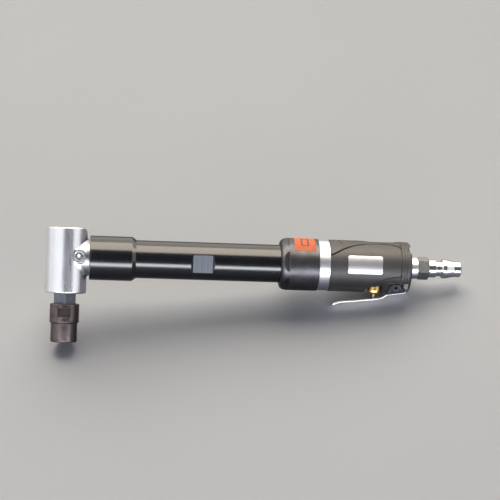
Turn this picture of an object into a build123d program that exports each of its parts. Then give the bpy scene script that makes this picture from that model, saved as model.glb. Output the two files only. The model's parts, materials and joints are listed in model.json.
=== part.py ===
"""Long-reach right-angle air die grinder with a 6 mm collet.

The row frame has its origin at the centre of the collet's mouth, +Z up the spindle, and +X along
the body towards the air inlet. Sizes are millimetres. Heights named *_Z are in the row frame.
A lathe profile is a list of (distance along the axis, radius) corners.
"""

from build123d import *
import os
from math import acos, atan, cos, pi, radians, sin, sqrt, tan

os.makedirs("parts", exist_ok=True)

# ---- driving dimensions -------------------------------------------------------------------

BODY_Z = 58.0               # the long body's axis above the collet mouth
FIT = 0.01                  # gap between parts that are fixed to each other
RUN = 0.05                  # radial clearance of parts that move on each other

HEAD_R = 14.4
HEAD_TOP_Z = BODY_Z + 20.5
HEAD_BOTTOM_Z = BODY_Z - 24.5
NECK_R = 12.3
NECK_END_X = 38.0
NECK_STEPS_X = (20.15, 25.0)
NECK_TAIL_R = 10.95
NECK_FILLET_R = 2.0
CAVITY_R = 11.2

SHANK_R = 3.0               # the collet grips a 6 mm shank
NUT_TOP_Z = 26.1
NUT_STEP_Z = 13.3
SPINDLE_HEX = 14.0          # across flats

COUPLING_X = (16.0, 47.4)
COUPLING_R = 15.15
TUBE_R = 13.0
TUBE_X = (25.1, 152.4)
TUBE_BORE_R = 9.0

CAP_X = (146.3, 172.3)
CAP_R = 18.0
BAND_X = (172.3, 179.9)
BAND_R = 17.5
GRIP_X = (179.9, 236.6)
GRIP_R = 17.9
HOUSING_R = 15.7
HOUSING_X = (153.0, 231.5)
MOTOR_BORE_R = 13.6

SHAFT_R = 4.0               # drive-line journals and the bores of its bearings
BEARING_RIM_R = 9.5
BEARING_WIDTH = 6.0
PINION_BEARINGS_X = (12.0, 30.0)
SHAFT_BEARINGS_X = (50.0, 134.0)
ROTOR_BEARINGS_X = (154.0, 198.0)
CIRCLIPS_X = (36.1, 48.8, 140.1)
COUPLINGS_X = (40.0, 142.0)
COUPLING_LENGTH = 8.6
DRIVE_HEX = 6.0

MOTOR_X = (162.0, 196.0)    # inner faces of the motor's end plates
ROTOR_R = 9.5
CYLINDER_BORE_R = 10.8
ECCENTRICITY = 1.25
VANE_COUNT = 5

VALVE_X = 213.0
PIVOT_X = 227.5
PIVOT_Z = BODY_Z - 14.2
RECESS_Z = BODY_Z - 11.0    # flat floor of the lever recess
PIN_R = 1.9
LUG_HALF = 3.9
LEVER_HALF = 5.5
LEVER_THICK = 1.4

INLET_R = 7.5
INLET_END_X = 242.5
PLUG_HEX = 14.0
NOSE_R = 5.4
NOSE_X = (268.2, 273.4)

MODULE = 1.2
PINION_TEETH = 12
WHEEL_TEETH = 16
PRESSURE = radians(20)
BACKLASH = 0.12
CONE_DISTANCE = MODULE / 2 * sqrt(PINION_TEETH**2 + WHEEL_TEETH**2)
FACE_SCALE = 2 / 3          # small end of the teeth over their large end

# ---- planes, axes and profiles ------------------------------------------------------------

DRIVE_AXIS = Axis((0, 0, BODY_Z), (1, 0, 0))
SPINDLE_AXIS = Axis.Z


def drive_side(angle=90.0):
    """Plane through the drive axis: x along the body, y outwards at an angle above -Y."""
    turn = radians(angle)
    return Plane((0, 0, BODY_Z), x_dir=(1, 0, 0), z_dir=(0, -sin(turn), -cos(turn)))


def drive_across(x):
    """Plane across the drive axis at x, with its own x axis pointing down."""
    return Plane((x, 0, BODY_Z), x_dir=(0, 0, -1), z_dir=(1, 0, 0))


def level(z):
    """Plane across the spindle axis."""
    return Plane.XY.offset(z)


DRIVE_SIDE = drive_side()
SPINDLE_SIDE = Plane((0, 0, 0), x_dir=(0, 0, 1), z_dir=(0, 1, 0))


def outline(plane, points):
    """A closed face from its corner points on a plane."""
    with BuildSketch(plane) as face:
        with BuildLine():
            Polyline(*points, close=True)
        make_face()
    return face.sketch


def tube_profile(plane, start, end, outer_r, inner_r=0.0):
    """A plain ring or disc to be turned about the plane's x axis."""
    return outline(plane, [(start, inner_r), (end, inner_r), (end, outer_r), (start, outer_r)])


def disc(plane, radius, centre=(0, 0)):
    """A round face on a plane."""
    with BuildSketch(plane) as face:
        with Locations(centre):
            Circle(radius)
    return face.sketch


def hexagon(plane, across_flats, turn=0.0):
    """A hexagonal face on a plane."""
    with BuildSketch(plane) as face:
        RegularPolygon(across_flats / 2, 6, major_radius=False, rotation=turn)
    return face.sketch


def save(builder, label):
    """Name a finished piece and write its file."""
    builder.part.label = label
    export_step(builder.part, f"parts/{label}.step")


# ---- ball bearings ------------------------------------------------------------------------


def save_bearings(name, side, axis, planes, starts, bore_r, rim_r, width, ball_r, balls):
    """Equal deep-groove bearings along one axis: outer rings, inner rings and balls."""
    pitch_r = (bore_r + rim_r) / 2
    shoulder = ball_r * 0.62
    with BuildPart() as outer_rings:
        for start in starts:
            revolve(tube_profile(side, start, start + width, rim_r - FIT, pitch_r + shoulder), axis)
            track = disc(side, ball_r + 0.02, (start + width / 2, pitch_r))
            revolve(track, axis, mode=Mode.SUBTRACT)
    save(outer_rings, f"{name}_outer_rings" if len(starts) > 1 else f"{name}_outer_ring")
    with BuildPart() as inner_rings:
        for start in starts:
            revolve(tube_profile(side, start, start + width, pitch_r - shoulder, bore_r + FIT), axis)
            track = disc(side, ball_r + 0.02, (start + width / 2, pitch_r))
            revolve(track, axis, mode=Mode.SUBTRACT)
    save(inner_rings, f"{name}_inner_rings" if len(starts) > 1 else f"{name}_inner_ring")
    with BuildPart() as ball_set:
        for start in starts:
            with Locations(planes(start + width / 2)):
                with PolarLocations(pitch_r, balls):
                    Sphere(ball_r)
    save(ball_set, f"{name}_balls")


def save_drive_bearings(name, starts):
    """A pair of the drive line's 8 x 19 x 6 bearings."""
    size = (SHAFT_R, BEARING_RIM_R, BEARING_WIDTH, 1.6, 8)
    save_bearings(name, DRIVE_SIDE, DRIVE_AXIS, drive_across, starts, *size)


save_drive_bearings("pinion_bearing", PINION_BEARINGS_X)
save_drive_bearings("shaft_bearing", SHAFT_BEARINGS_X)
save_drive_bearings("rotor_bearing", ROTOR_BEARINGS_X)

LOWER_BEARING_Z = BODY_Z - 17.5
LOWER_BEARING = (6.0, 12.0, 6.0, 1.8, 10)
UPPER_BEARING_Z = BODY_Z + 10.0
UPPER_BEARING = (3.0, 6.5, 5.0, 0.95, 9)
save_bearings(
    "lower_bearing", SPINDLE_SIDE, SPINDLE_AXIS, level, (LOWER_BEARING_Z,), *LOWER_BEARING
)
save_bearings(
    "upper_bearing", SPINDLE_SIDE, SPINDLE_AXIS, level, (UPPER_BEARING_Z,), *UPPER_BEARING
)

# ---- bevel gears --------------------------------------------------------------------------


def involute(angle):
    """The involute function."""
    return tan(angle) - angle


def bevel_rim(teeth, cone_angle, distance, first_tooth):
    """Corners of a straight bevel wheel's rim in the plane at a distance from the pitch apex."""
    virtual_r = CONE_DISTANCE * tan(cone_angle)
    base_r = virtual_r * cos(PRESSURE)
    root_r = virtual_r - 1.2 * MODULE
    tip_r = virtual_r + MODULE
    start_r = max(base_r, root_r)
    flank = [root_r] if root_r < base_r else []
    flank += [start_r + (tip_r - start_r) * step / 4 for step in range(5)]
    tooth = []
    for rho in flank:
        roll = involute(acos(min(1.0, base_r / rho)))
        half = (pi * MODULE - BACKLASH) / 4 / virtual_r + involute(PRESSURE) - roll
        radius = distance * tan(cone_angle + atan((rho - virtual_r) / CONE_DISTANCE))
        tooth.append((radius, half / cos(cone_angle)))
    corners = []
    for index in range(teeth):
        middle = first_tooth + 2 * pi * index / teeth
        for radius, half in tooth:
            corners.append((radius * cos(middle - half), radius * sin(middle - half)))
        for radius, half in reversed(tooth):
            corners.append((radius * cos(middle + half), radius * sin(middle + half)))
    return corners


def bevel_blank(cone_angle, depth, back, bore_r):
    """Turned blank as (distance from apex, radius): teeth cone, back cone and flat back."""
    pitch = (CONE_DISTANCE * cos(cone_angle), CONE_DISTANCE * sin(cone_angle))
    out = (-sin(cone_angle), cos(cone_angle))
    tip = (pitch[0] + MODULE * out[0], pitch[1] + MODULE * out[1])
    heel = (pitch[0] - depth * out[0], pitch[1] - depth * out[1])
    toe = (FACE_SCALE * heel[0], FACE_SCALE * heel[1])
    return [
        (FACE_SCALE * tip[0], FACE_SCALE * tip[1]),
        tip,
        heel,
        (back, heel[1]),
        (back, bore_r),
        (toe[0], bore_r),
        toe,
    ]


WHEEL_CONE = atan(WHEEL_TEETH / PINION_TEETH)
PINION_CONE = atan(PINION_TEETH / WHEEL_TEETH)
WHEEL_SEAT_R = 4.5
WHEEL_BACK = 11.4
WHEEL_RIM = (3.6, 11.4)      # teeth are lofted between these distances from the apex
PINION_RIM = (4.4, 11.6)
KEY_SIZE = (2.0, 2.4, 3.6)
KEY_CENTRE = (0, WHEEL_SEAT_R, BODY_Z - 9.4)


def below_apex(distance):
    """Plane under the crossing of the two axes, facing down."""
    return Plane((0, 0, BODY_Z - distance), x_dir=(1, 0, 0), z_dir=(0, 0, -1))


with BuildPart() as driven_bevel_gear:
    rims = []
    for distance in WHEEL_RIM:
        rims.append(
            outline(below_apex(distance), bevel_rim(WHEEL_TEETH, WHEEL_CONE, distance, pi / WHEEL_TEETH))
        )
    loft(rims, ruled=True)
    blank_side = Plane((0, 0, BODY_Z), x_dir=(0, 0, -1), z_dir=(0, -1, 0))
    blank = bevel_blank(WHEEL_CONE, 3.0, WHEEL_BACK, WHEEL_SEAT_R + FIT)
    revolve(outline(blank_side, blank), SPINDLE_AXIS, mode=Mode.INTERSECT)
    with Locations(KEY_CENTRE):
        Box(*KEY_SIZE, mode=Mode.SUBTRACT)
save(driven_bevel_gear, "driven_bevel_gear")

with BuildPart() as gear_key:
    with Locations(KEY_CENTRE):
        Box(*[size - 2 * FIT for size in KEY_SIZE])
save(gear_key, "gear_key")

PINION_HEX_X = (39.0, 43.6)
with BuildPart() as drive_pinion:
    rims = []
    for distance in PINION_RIM:
        rims.append(outline(drive_across(distance), bevel_rim(PINION_TEETH, PINION_CONE, distance, 0.0)))
    loft(rims, ruled=True)
    blank = bevel_blank(PINION_CONE, 2.2, 11.5, 0.0)
    revolve(outline(DRIVE_SIDE, blank), DRIVE_AXIS, mode=Mode.INTERSECT)
    revolve(tube_profile(DRIVE_SIDE, 10.6, PINION_BEARINGS_X[0], 5.3), DRIVE_AXIS)
    revolve(tube_profile(DRIVE_SIDE, 11.0, PINION_HEX_X[0], SHAFT_R), DRIVE_AXIS)
    hexagon_length = PINION_HEX_X[1] - PINION_HEX_X[0]
    extrude(hexagon(drive_across(PINION_HEX_X[0]), DRIVE_HEX), amount=hexagon_length)
save(drive_pinion, "drive_pinion")

# ---- angle head ---------------------------------------------------------------------------

BOSS_X = 9.1
BOSS_Z = BODY_Z + 1.0
BOSS_R = 4.9
BOSS_FACE_Y = -13.0
FITTING_R = 2.8
RETAINER_TOP_Z = LOWER_BEARING_Z - 0.1
RETAINER_R = 12.2
EDGE_R = 4.5


def facing_front(y):
    """Plane facing -Y at y, with x along the body and y up from the drive axis."""
    return Plane((0, y, BODY_Z), x_dir=(1, 0, 0), z_dir=(0, -1, 0))


with BuildPart() as angle_head:
    revolve(tube_profile(SPINDLE_SIDE, HEAD_BOTTOM_Z, HEAD_TOP_Z, HEAD_R), SPINDLE_AXIS)
    revolve(tube_profile(DRIVE_SIDE, 0, NECK_STEPS_X[0], NECK_R), DRIVE_AXIS)
    crossing = edges().filter_by(lambda edge: edge.geom_type not in (GeomType.LINE, GeomType.CIRCLE))
    fillet(crossing, NECK_FILLET_R)
    chamfer(edges().filter_by(GeomType.CIRCLE).sort_by(Axis.Z)[0], 0.5)
    fillet(edges().filter_by(GeomType.CIRCLE).sort_by(Axis.Z)[-1], 1.3)
    with BuildSketch(facing_front(-HEAD_R - 1)) as rear_corner:
        with Locations((HEAD_R, HEAD_TOP_Z - BODY_Z)):
            Rectangle(2 * EDGE_R, 2 * EDGE_R)
        with Locations((HEAD_R - EDGE_R, HEAD_TOP_Z - BODY_Z - EDGE_R)):
            Circle(EDGE_R, mode=Mode.SUBTRACT)
    extrude(amount=-2 * HEAD_R - 2, mode=Mode.SUBTRACT)
    revolve(tube_profile(DRIVE_SIDE, *NECK_STEPS_X, TUBE_R - RUN), DRIVE_AXIS)
    revolve(tube_profile(DRIVE_SIDE, NECK_STEPS_X[1], NECK_END_X, NECK_TAIL_R), DRIVE_AXIS)
    extrude(disc(facing_front(BOSS_FACE_Y), BOSS_R, (BOSS_X, BOSS_Z - BODY_Z)), amount=-8)
    fillet(edges().filter_by(GeomType.CIRCLE).sort_by(Axis.Y)[0], 0.5)
    cavity = [
        (HEAD_BOTTOM_Z - 1, 0),
        (HEAD_BOTTOM_Z - 1, RETAINER_R + FIT),
        (LOWER_BEARING_Z, RETAINER_R + FIT),
        (LOWER_BEARING_Z, 12.0),
        (LOWER_BEARING_Z + 6.0, 12.0),
        (LOWER_BEARING_Z + 6.0, CAVITY_R),
        (BODY_Z + 8.6, CAVITY_R),
        (BODY_Z + 9.4, CAVITY_R - 0.8),
        (BODY_Z + 9.4, 5.4),
        (UPPER_BEARING_Z, 5.4),
        (UPPER_BEARING_Z, 6.5),
        (UPPER_BEARING_Z + 5.4, 6.5),
        (UPPER_BEARING_Z + 5.4, 0),
    ]
    revolve(outline(SPINDLE_SIDE, cavity), SPINDLE_AXIS, mode=Mode.SUBTRACT)
    revolve(tube_profile(DRIVE_SIDE, 0, 13, 8.7), DRIVE_AXIS, mode=Mode.SUBTRACT)
    neck_bore = tube_profile(DRIVE_SIDE, PINION_BEARINGS_X[0], NECK_END_X + 1, BEARING_RIM_R)
    revolve(neck_bore, DRIVE_AXIS, mode=Mode.SUBTRACT)
    groove = tube_profile(DRIVE_SIDE, CIRCLIPS_X[0] - RUN, CIRCLIPS_X[0] + 1.1, 10.1)
    revolve(groove, DRIVE_AXIS, mode=Mode.SUBTRACT)
    fitting_seat = disc(facing_front(BOSS_FACE_Y - 1), FITTING_R, (BOSS_X, BOSS_Z - BODY_Z))
    extrude(fitting_seat, amount=-3.6, mode=Mode.SUBTRACT)
save(angle_head, "angle_head")

with BuildPart() as grease_fitting:
    seat = facing_front(BOSS_FACE_Y + 2.6)
    extrude(disc(seat, FITTING_R - FIT, (BOSS_X, BOSS_Z - BODY_Z)), amount=2.2)
    extrude(disc(seat, 1.9, (BOSS_X, BOSS_Z - BODY_Z)), amount=4, mode=Mode.SUBTRACT)
    extrude(disc(seat, 2.5, (BOSS_X, BOSS_Z - BODY_Z)), amount=0.8)
save(grease_fitting, "grease_fitting")

with BuildPart() as grease_ball:
    with Locations((BOSS_X, BOSS_FACE_Y + 2.6 - 0.8 - 1.42, BOSS_Z)):
        Sphere(1.4)
save(grease_ball, "grease_ball")

with BuildPart() as bearing_retainer:
    ring = tube_profile(SPINDLE_SIDE, HEAD_BOTTOM_Z + 0.2, RETAINER_TOP_Z, RETAINER_R, 7.8)
    revolve(ring, SPINDLE_AXIS)
    with Locations(level(HEAD_BOTTOM_Z + 0.2)):
        with PolarLocations(10.0, 4):
            Cylinder(1.0, 3.0, mode=Mode.SUBTRACT)
save(bearing_retainer, "bearing_retainer")

# ---- spindle, collet and nut --------------------------------------------------------------

NOSE_THREAD_R = 7.0
NOSE_TOP_Z = BODY_Z - 31.9
HEX_TURN = -82.0            # where one of the spindle hexagon's corners points
CONE_TOP_Z = 21.0

with BuildPart() as spindle:
    body = [
        (12.0, 0),
        (12.0, NOSE_THREAD_R),
        (HEAD_BOTTOM_Z - 0.6, NOSE_THREAD_R),
        (HEAD_BOTTOM_Z - 0.6, 7.5),
        (LOWER_BEARING_Z, 7.5),
        (LOWER_BEARING_Z, 6.0),
        (LOWER_BEARING_Z + 6.0, 6.0),
        (LOWER_BEARING_Z + 6.0, WHEEL_SEAT_R),
        (BODY_Z - 7.0, WHEEL_SEAT_R),
        (BODY_Z - 7.0, 3.4),
        (UPPER_BEARING_Z - 0.2, 3.4),
        (UPPER_BEARING_Z - 0.2, 3.0),
        (UPPER_BEARING_Z + 5.0, 3.0),
        (UPPER_BEARING_Z + 5.0, 0),
    ]
    revolve(outline(SPINDLE_SIDE, body), SPINDLE_AXIS)
    extrude(hexagon(level(NOSE_TOP_Z), SPINDLE_HEX, HEX_TURN), amount=HEAD_BOTTOM_Z - NOSE_TOP_Z)
    socket = [(11.0, 0), (11.0, 5.80), (CONE_TOP_Z + 1, 4.30), (CONE_TOP_Z + 1, 3.3), (34, 3.3), (35, 0)]
    revolve(outline(SPINDLE_SIDE, socket), SPINDLE_AXIS, mode=Mode.SUBTRACT)
    with Locations(KEY_CENTRE):
        Box(*KEY_SIZE, mode=Mode.SUBTRACT)
save(spindle, "spindle")

with BuildPart() as gear_nut:
    extrude(hexagon(level(BODY_Z - 6.2), 8.2), amount=1.6)
    revolve(tube_profile(SPINDLE_SIDE, BODY_Z - 8, BODY_Z, 3.4 + FIT), SPINDLE_AXIS, mode=Mode.SUBTRACT)
save(gear_nut, "gear_nut")

with BuildPart() as collet:
    body = [
        (0, SHANK_R),
        (0, 4.9),
        (2.2, 4.9),
        (4.6, 6.3),
        (7.0, 6.3),
        (CONE_TOP_Z, 4.4),
        (CONE_TOP_Z, SHANK_R),
    ]
    revolve(outline(SPINDLE_SIDE, body), SPINDLE_AXIS)
    with BuildSketch(level(-1)) as slots:
        with PolarLocations(4.6, 3, start_angle=90):
            Rectangle(4.6, 0.8)
    extrude(amount=16, mode=Mode.SUBTRACT)
save(collet, "collet")

POCKET_WIDTH = 8.2
POCKET_FLOOR = 8.3
with BuildPart() as collet_nut:
    body = [
        (0, 4.9 + RUN + 0.15),
        (0, 8.3),
        (0.7, 9.0),
        (NUT_STEP_Z - 0.4, 9.0),
        (NUT_STEP_Z, 9.3),
        (NUT_STEP_Z + 0.5, 10.0),
        (NUT_TOP_Z - 0.6, 10.0),
        (NUT_TOP_Z - 0.05, 9.4),
        (NUT_TOP_Z - 0.05, NOSE_THREAD_R + RUN),
        (8.2, NOSE_THREAD_R + RUN),
        (7.6, 6.3 + RUN),
        (4.6 - RUN, 6.3 + RUN),
        (2.3, 4.9 + RUN + 0.1),
    ]
    revolve(outline(SPINDLE_SIDE, body), SPINDLE_AXIS)
    for side in (-1, 1):
        with Locations((0, side * (POCKET_FLOOR + 2), 20.5)):
            Box(POCKET_WIDTH, 4, 6.0, mode=Mode.SUBTRACT)
save(collet_nut, "collet_nut")

# ---- drive line ---------------------------------------------------------------------------

with BuildPart() as pinion_spacer:
    spacer = tube_profile(DRIVE_SIDE, 18.0 + FIT, 30.0 - FIT, 5.4, SHAFT_R + FIT)
    revolve(spacer, DRIVE_AXIS)
save(pinion_spacer, "pinion_spacer")

with BuildPart() as pinion_nut:
    extrude(hexagon(drive_across(36.0 + FIT), 10.0), amount=2.8)
    revolve(tube_profile(DRIVE_SIDE, 35, 40, SHAFT_R + FIT), DRIVE_AXIS, mode=Mode.SUBTRACT)
save(pinion_nut, "pinion_nut")

with BuildPart() as bearing_circlips:
    for start in CIRCLIPS_X:
        revolve(tube_profile(DRIVE_SIDE, start, start + 1.0, 10.0, 8.1), DRIVE_AXIS)
    with Locations((90, 0, BODY_Z + 9)):
        Box(160, 5, 5, mode=Mode.SUBTRACT)
save(bearing_circlips, "bearing_circlips")

SHAFT_X = (44.0, 145.6)
with BuildPart() as extension_shaft:
    revolve(tube_profile(DRIVE_SIDE, 49.0, 140.6, SHAFT_R), DRIVE_AXIS)
    revolve(tube_profile(DRIVE_SIDE, 56.0 + FIT, 134.0 - FIT, 5.0), DRIVE_AXIS)
    extrude(hexagon(drive_across(SHAFT_X[0]), DRIVE_HEX), amount=SHAFT_X[1] - SHAFT_X[0])
save(extension_shaft, "extension_shaft")

with BuildPart() as shaft_couplings:
    for start in COUPLINGS_X:
        revolve(tube_profile(DRIVE_SIDE, start, start + COUPLING_LENGTH, 6.4), DRIVE_AXIS)
        socket = hexagon(drive_across(start - 1), DRIVE_HEX + 2 * FIT)
        extrude(socket, amount=COUPLING_LENGTH + 2, mode=Mode.SUBTRACT)
save(shaft_couplings, "shaft_couplings")

# ---- coupling nut and extension tube ------------------------------------------------------

with BuildPart() as coupling_nut:
    front, rear = COUPLING_X
    body = [
        (front, NECK_R + 0.1),
        (front, COUPLING_R - 0.5),
        (front + 0.5, COUPLING_R),
        (rear - 2.6, COUPLING_R),
        (rear - 0.3, TUBE_R + 0.5),
        (rear, TUBE_R + 0.3),
        (rear, TUBE_R + FIT),
        (20.1, TUBE_R + FIT),
        (20.1, NECK_R + 0.1),
    ]
    revolve(outline(DRIVE_SIDE, body), DRIVE_AXIS)
save(coupling_nut, "coupling_nut")

FLATS_X = (86.3, 99.7)
FLATS_HALF = 11.5
FLATS_TURN = -8.5
with BuildPart() as extension_tube:
    front, rear = TUBE_X
    body = [
        (front, 11.0),
        (front, TUBE_R),
        (149.4, TUBE_R),
        (149.4, 15.0),
        (rear, 15.0),
        (rear, BEARING_RIM_R),
        (SHAFT_BEARINGS_X[1], BEARING_RIM_R),
        (SHAFT_BEARINGS_X[1], TUBE_BORE_R),
        (SHAFT_BEARINGS_X[0] + BEARING_WIDTH, TUBE_BORE_R),
        (SHAFT_BEARINGS_X[0] + BEARING_WIDTH, BEARING_RIM_R),
        (40.0, BEARING_RIM_R),
        (40.0, 11.0),
    ]
    revolve(outline(DRIVE_SIDE, body), DRIVE_AXIS)
    for start in CIRCLIPS_X[1:]:
        groove = tube_profile(DRIVE_SIDE, start - RUN, start + 1.0 + RUN, 10.1)
        revolve(groove, DRIVE_AXIS, mode=Mode.SUBTRACT)
    for angle in (FLATS_TURN, FLATS_TURN + 180):
        ramp = TUBE_R + 0.4 - FLATS_HALF
        flat = [
            (FLATS_X[0] - ramp, TUBE_R + 0.4),
            (FLATS_X[0], FLATS_HALF),
            (FLATS_X[1], FLATS_HALF),
            (FLATS_X[1] + ramp, TUBE_R + 0.4),
        ]
        extrude(outline(drive_side(angle), flat), amount=9, both=True, mode=Mode.SUBTRACT)
save(extension_tube, "extension_tube")

# ---- front cap, label and band ------------------------------------------------------------

CAP_NOSE_R = 14.8
CAP_ROUND_X = 5.2
CAP_FLATS_R = (17.9, 16.6)  # the flats slope inwards from front to rear
CAP_FLATS_END_X = 151.7
CAP_FLATS_TURN = 7.0
with BuildPart() as front_cap:
    front, rear = CAP_X
    with BuildSketch(DRIVE_SIDE) as body:
        with BuildLine():
            round_centre = (front + CAP_ROUND_X, CAP_NOSE_R)
            EllipticalCenterArc(round_centre, CAP_ROUND_X, CAP_R - CAP_NOSE_R, 90, arc_size=90)
            Polyline(
                (front, CAP_NOSE_R),
                (front, TUBE_R + RUN),
                (front + 3.0, TUBE_R + RUN),
                (front + 3.0, HOUSING_R + 0.3),
                (rear, HOUSING_R + 0.3),
                (rear, CAP_R - 0.6),
                (rear - 0.6, CAP_R),
                (front + CAP_ROUND_X, CAP_R),
            )
        make_face()
    revolve(axis=DRIVE_AXIS)
    for index in range(6):
        side = drive_side(CAP_FLATS_TURN + 60 * index)
        flat = outline(
            side, [(145, CAP_FLATS_R[0]), (CAP_FLATS_END_X, CAP_FLATS_R[1]), (CAP_FLATS_END_X, 19), (145, 19)]
        )
        extrude(flat, amount=12, both=True, mode=Mode.SUBTRACT)
save(front_cap, "front_cap")

LABEL_X = (155.4, 169.6)
LABEL_ANGLES = (33.0, 128.0)
with BuildPart() as cap_label:
    strip = tube_profile(drive_side(LABEL_ANGLES[1]), *LABEL_X, CAP_R + 0.16, CAP_R + FIT)
    revolve(strip, DRIVE_AXIS, LABEL_ANGLES[1] - LABEL_ANGLES[0])
save(cap_label, "cap_label")

with BuildPart() as silver_band:
    front, rear = BAND_X
    body = [
        (front + FIT, HOUSING_R + FIT),
        (rear - FIT, HOUSING_R + FIT),
        (rear - FIT, BAND_R - 0.3),
        (rear - 0.3, BAND_R),
        (front + 0.3, BAND_R),
        (front + FIT, BAND_R - 0.3),
    ]
    revolve(outline(DRIVE_SIDE, body), DRIVE_AXIS)
save(silver_band, "silver_band")

# ---- motor --------------------------------------------------------------------------------

EXHAUST_ANGLES = (15, 60, 120, 165)
CHAMBER_R = 4.6
CHAMBER_TOP_Z = BODY_Z + 8.0
INLET_THREAD_R = 6.8
INLET_SEAT_X = 219.0
RECESS_X = (205.8, 234.9)
LUG_X = (217.9, 230.7)      # the block that the lever's ears straddle


def recess_profile(top):
    """The lever recess seen from the side, open below, with its floor at the height top."""
    front, rear = RECESS_X
    with BuildSketch(facing_front(-25)) as face:
        with BuildLine():
            start = (front, -20)
            rise = (front + 0.3, -15.6)
            bend = (front + 8.2, -13.4)
            shoulder = (front + 15.5, top)
            Polyline(start, rise)
            Spline(rise, bend, shoulder, tangents=((1, 1), (1, 0)))
            Polyline(shoulder, (rear, top), (rear, -20), start)
        make_face()
    return face.sketch


with BuildPart() as motor_housing:
    front, rear = HOUSING_X
    body = [
        (front, MOTOR_BORE_R),
        (front, HOUSING_R + 0.25),
        (CAP_X[1], HOUSING_R + 0.25),
        (CAP_X[1], HOUSING_R),
        (rear, HOUSING_R),
        (rear, 0),
        (206.0, 0),
        (206.0, 12.9),
        (204.1, 12.9),
        (204.1, MOTOR_BORE_R),
    ]
    revolve(outline(DRIVE_SIDE, body), DRIVE_AXIS)
    extrude(recess_profile(RECESS_Z - BODY_Z), amount=-50, mode=Mode.SUBTRACT)
    with BuildSketch(facing_front(LUG_HALF)) as lug:
        with BuildLine():
            Polyline((LUG_X[0], -10), (LUG_X[0], -16.9), (229.0, -16.9), (230.4, -15), (LUG_X[1], -10))
            Line((LUG_X[1], -10), (LUG_X[0], -10))
        make_face()
    extrude(amount=2 * LUG_HALF)
    pin_hole = disc(facing_front(-20), PIN_R + FIT, (PIVOT_X, PIVOT_Z - BODY_Z))
    extrude(pin_hole, amount=-40, mode=Mode.SUBTRACT)
    with BuildSketch(level(CHAMBER_TOP_Z)) as chamber:
        with Locations((VALVE_X, 0)):
            Circle(CHAMBER_R)
    extrude(amount=-30, mode=Mode.SUBTRACT)
    revolve(tube_profile(DRIVE_SIDE, VALVE_X, INLET_SEAT_X + 1, 3.0), DRIVE_AXIS, mode=Mode.SUBTRACT)
    revolve(
        tube_profile(DRIVE_SIDE, INLET_SEAT_X, rear + 1, INLET_THREAD_R), DRIVE_AXIS, mode=Mode.SUBTRACT
    )
    extrude(disc(drive_across(205), 1.5, (6.0, 0)), amount=5, mode=Mode.SUBTRACT)
    for angle in EXHAUST_ANGLES:
        slot = outline(drive_side(angle), [(170, 12.8), (rear + 1, 12.8), (rear + 1, 14.7), (170, 14.7)])
        extrude(slot, amount=3, both=True, mode=Mode.SUBTRACT)
save(motor_housing, "motor_housing")

with BuildPart() as front_gasket:
    revolve(tube_profile(DRIVE_SIDE, 152.45, 152.95, 13.4, 9.8), DRIVE_AXIS)
save(front_gasket, "front_gasket")

DOWEL = (1.0, 11.5)         # radius, and distance below the drive axis


def end_plate(start, end, pocket_start, pocket_end):
    """Turned end plate with a bearing pocket, a shaft hole and a dowel hole."""
    with BuildPart() as plate:
        revolve(tube_profile(DRIVE_SIDE, start, end, MOTOR_BORE_R - RUN), DRIVE_AXIS)
        pocket = tube_profile(DRIVE_SIDE, pocket_start, pocket_end, BEARING_RIM_R)
        revolve(pocket, DRIVE_AXIS, mode=Mode.SUBTRACT)
        revolve(tube_profile(DRIVE_SIDE, start, end, 5.2), DRIVE_AXIS, mode=Mode.SUBTRACT)
        dowel_hole = disc(drive_across(MOTOR_X[0] - 1.5), DOWEL[0] + FIT, (DOWEL[1], 0))
        extrude(dowel_hole, amount=MOTOR_X[1] - MOTOR_X[0] + 3.0, mode=Mode.SUBTRACT)
        for angle in (0, 180):
            with BuildSketch(drive_across(start - 1)) as port:
                with Locations((0, 11.4 if angle else -11.4)):
                    Circle(1.4)
            extrude(amount=end - start + 2, mode=Mode.SUBTRACT)
    return plate


save(end_plate(HOUSING_X[0], MOTOR_X[0], 152.0, 160.0), "front_end_plate")
save(end_plate(MOTOR_X[1], 204.0, 198.0, 205.0), "rear_end_plate")

with BuildPart() as motor_cylinder:
    revolve(tube_profile(DRIVE_SIDE, MOTOR_X[0] + FIT, MOTOR_X[1] - FIT, 13.5), DRIVE_AXIS)
    bore = disc(drive_across(MOTOR_X[0] - 1), CYLINDER_BORE_R, (-ECCENTRICITY, 0))
    extrude(bore, amount=40, mode=Mode.SUBTRACT)
    extrude(disc(drive_across(MOTOR_X[0] - 1), DOWEL[0] + FIT, (DOWEL[1], 0)), amount=40, mode=Mode.SUBTRACT)
    for x in (174.0, 179.0, 184.0):
        with Locations(Plane((x, 0, BODY_Z + 3), z_dir=(0, 1, 0))):
            Cylinder(1.4, 40, mode=Mode.SUBTRACT)
save(motor_cylinder, "motor_cylinder")

with BuildPart() as motor_dowel:
    dowel = disc(drive_across(MOTOR_X[0] - 1.4), DOWEL[0], (DOWEL[1], 0))
    extrude(dowel, amount=MOTOR_X[1] - MOTOR_X[0] + 2.8)
save(motor_dowel, "motor_dowel")

VANE = (5.0, 1.5)           # depth and thickness
ROTOR_X = (MOTOR_X[0] + 0.15, MOTOR_X[1] - 0.15)


def vane_slabs(depth, thickness):
    """Radial slabs just inside the rotor's surface."""
    with BuildSketch(drive_across(ROTOR_X[0])) as slabs:
        with PolarLocations(ROTOR_R - RUN - depth / 2, VANE_COUNT):
            Rectangle(depth, thickness)
    return slabs.sketch


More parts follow.
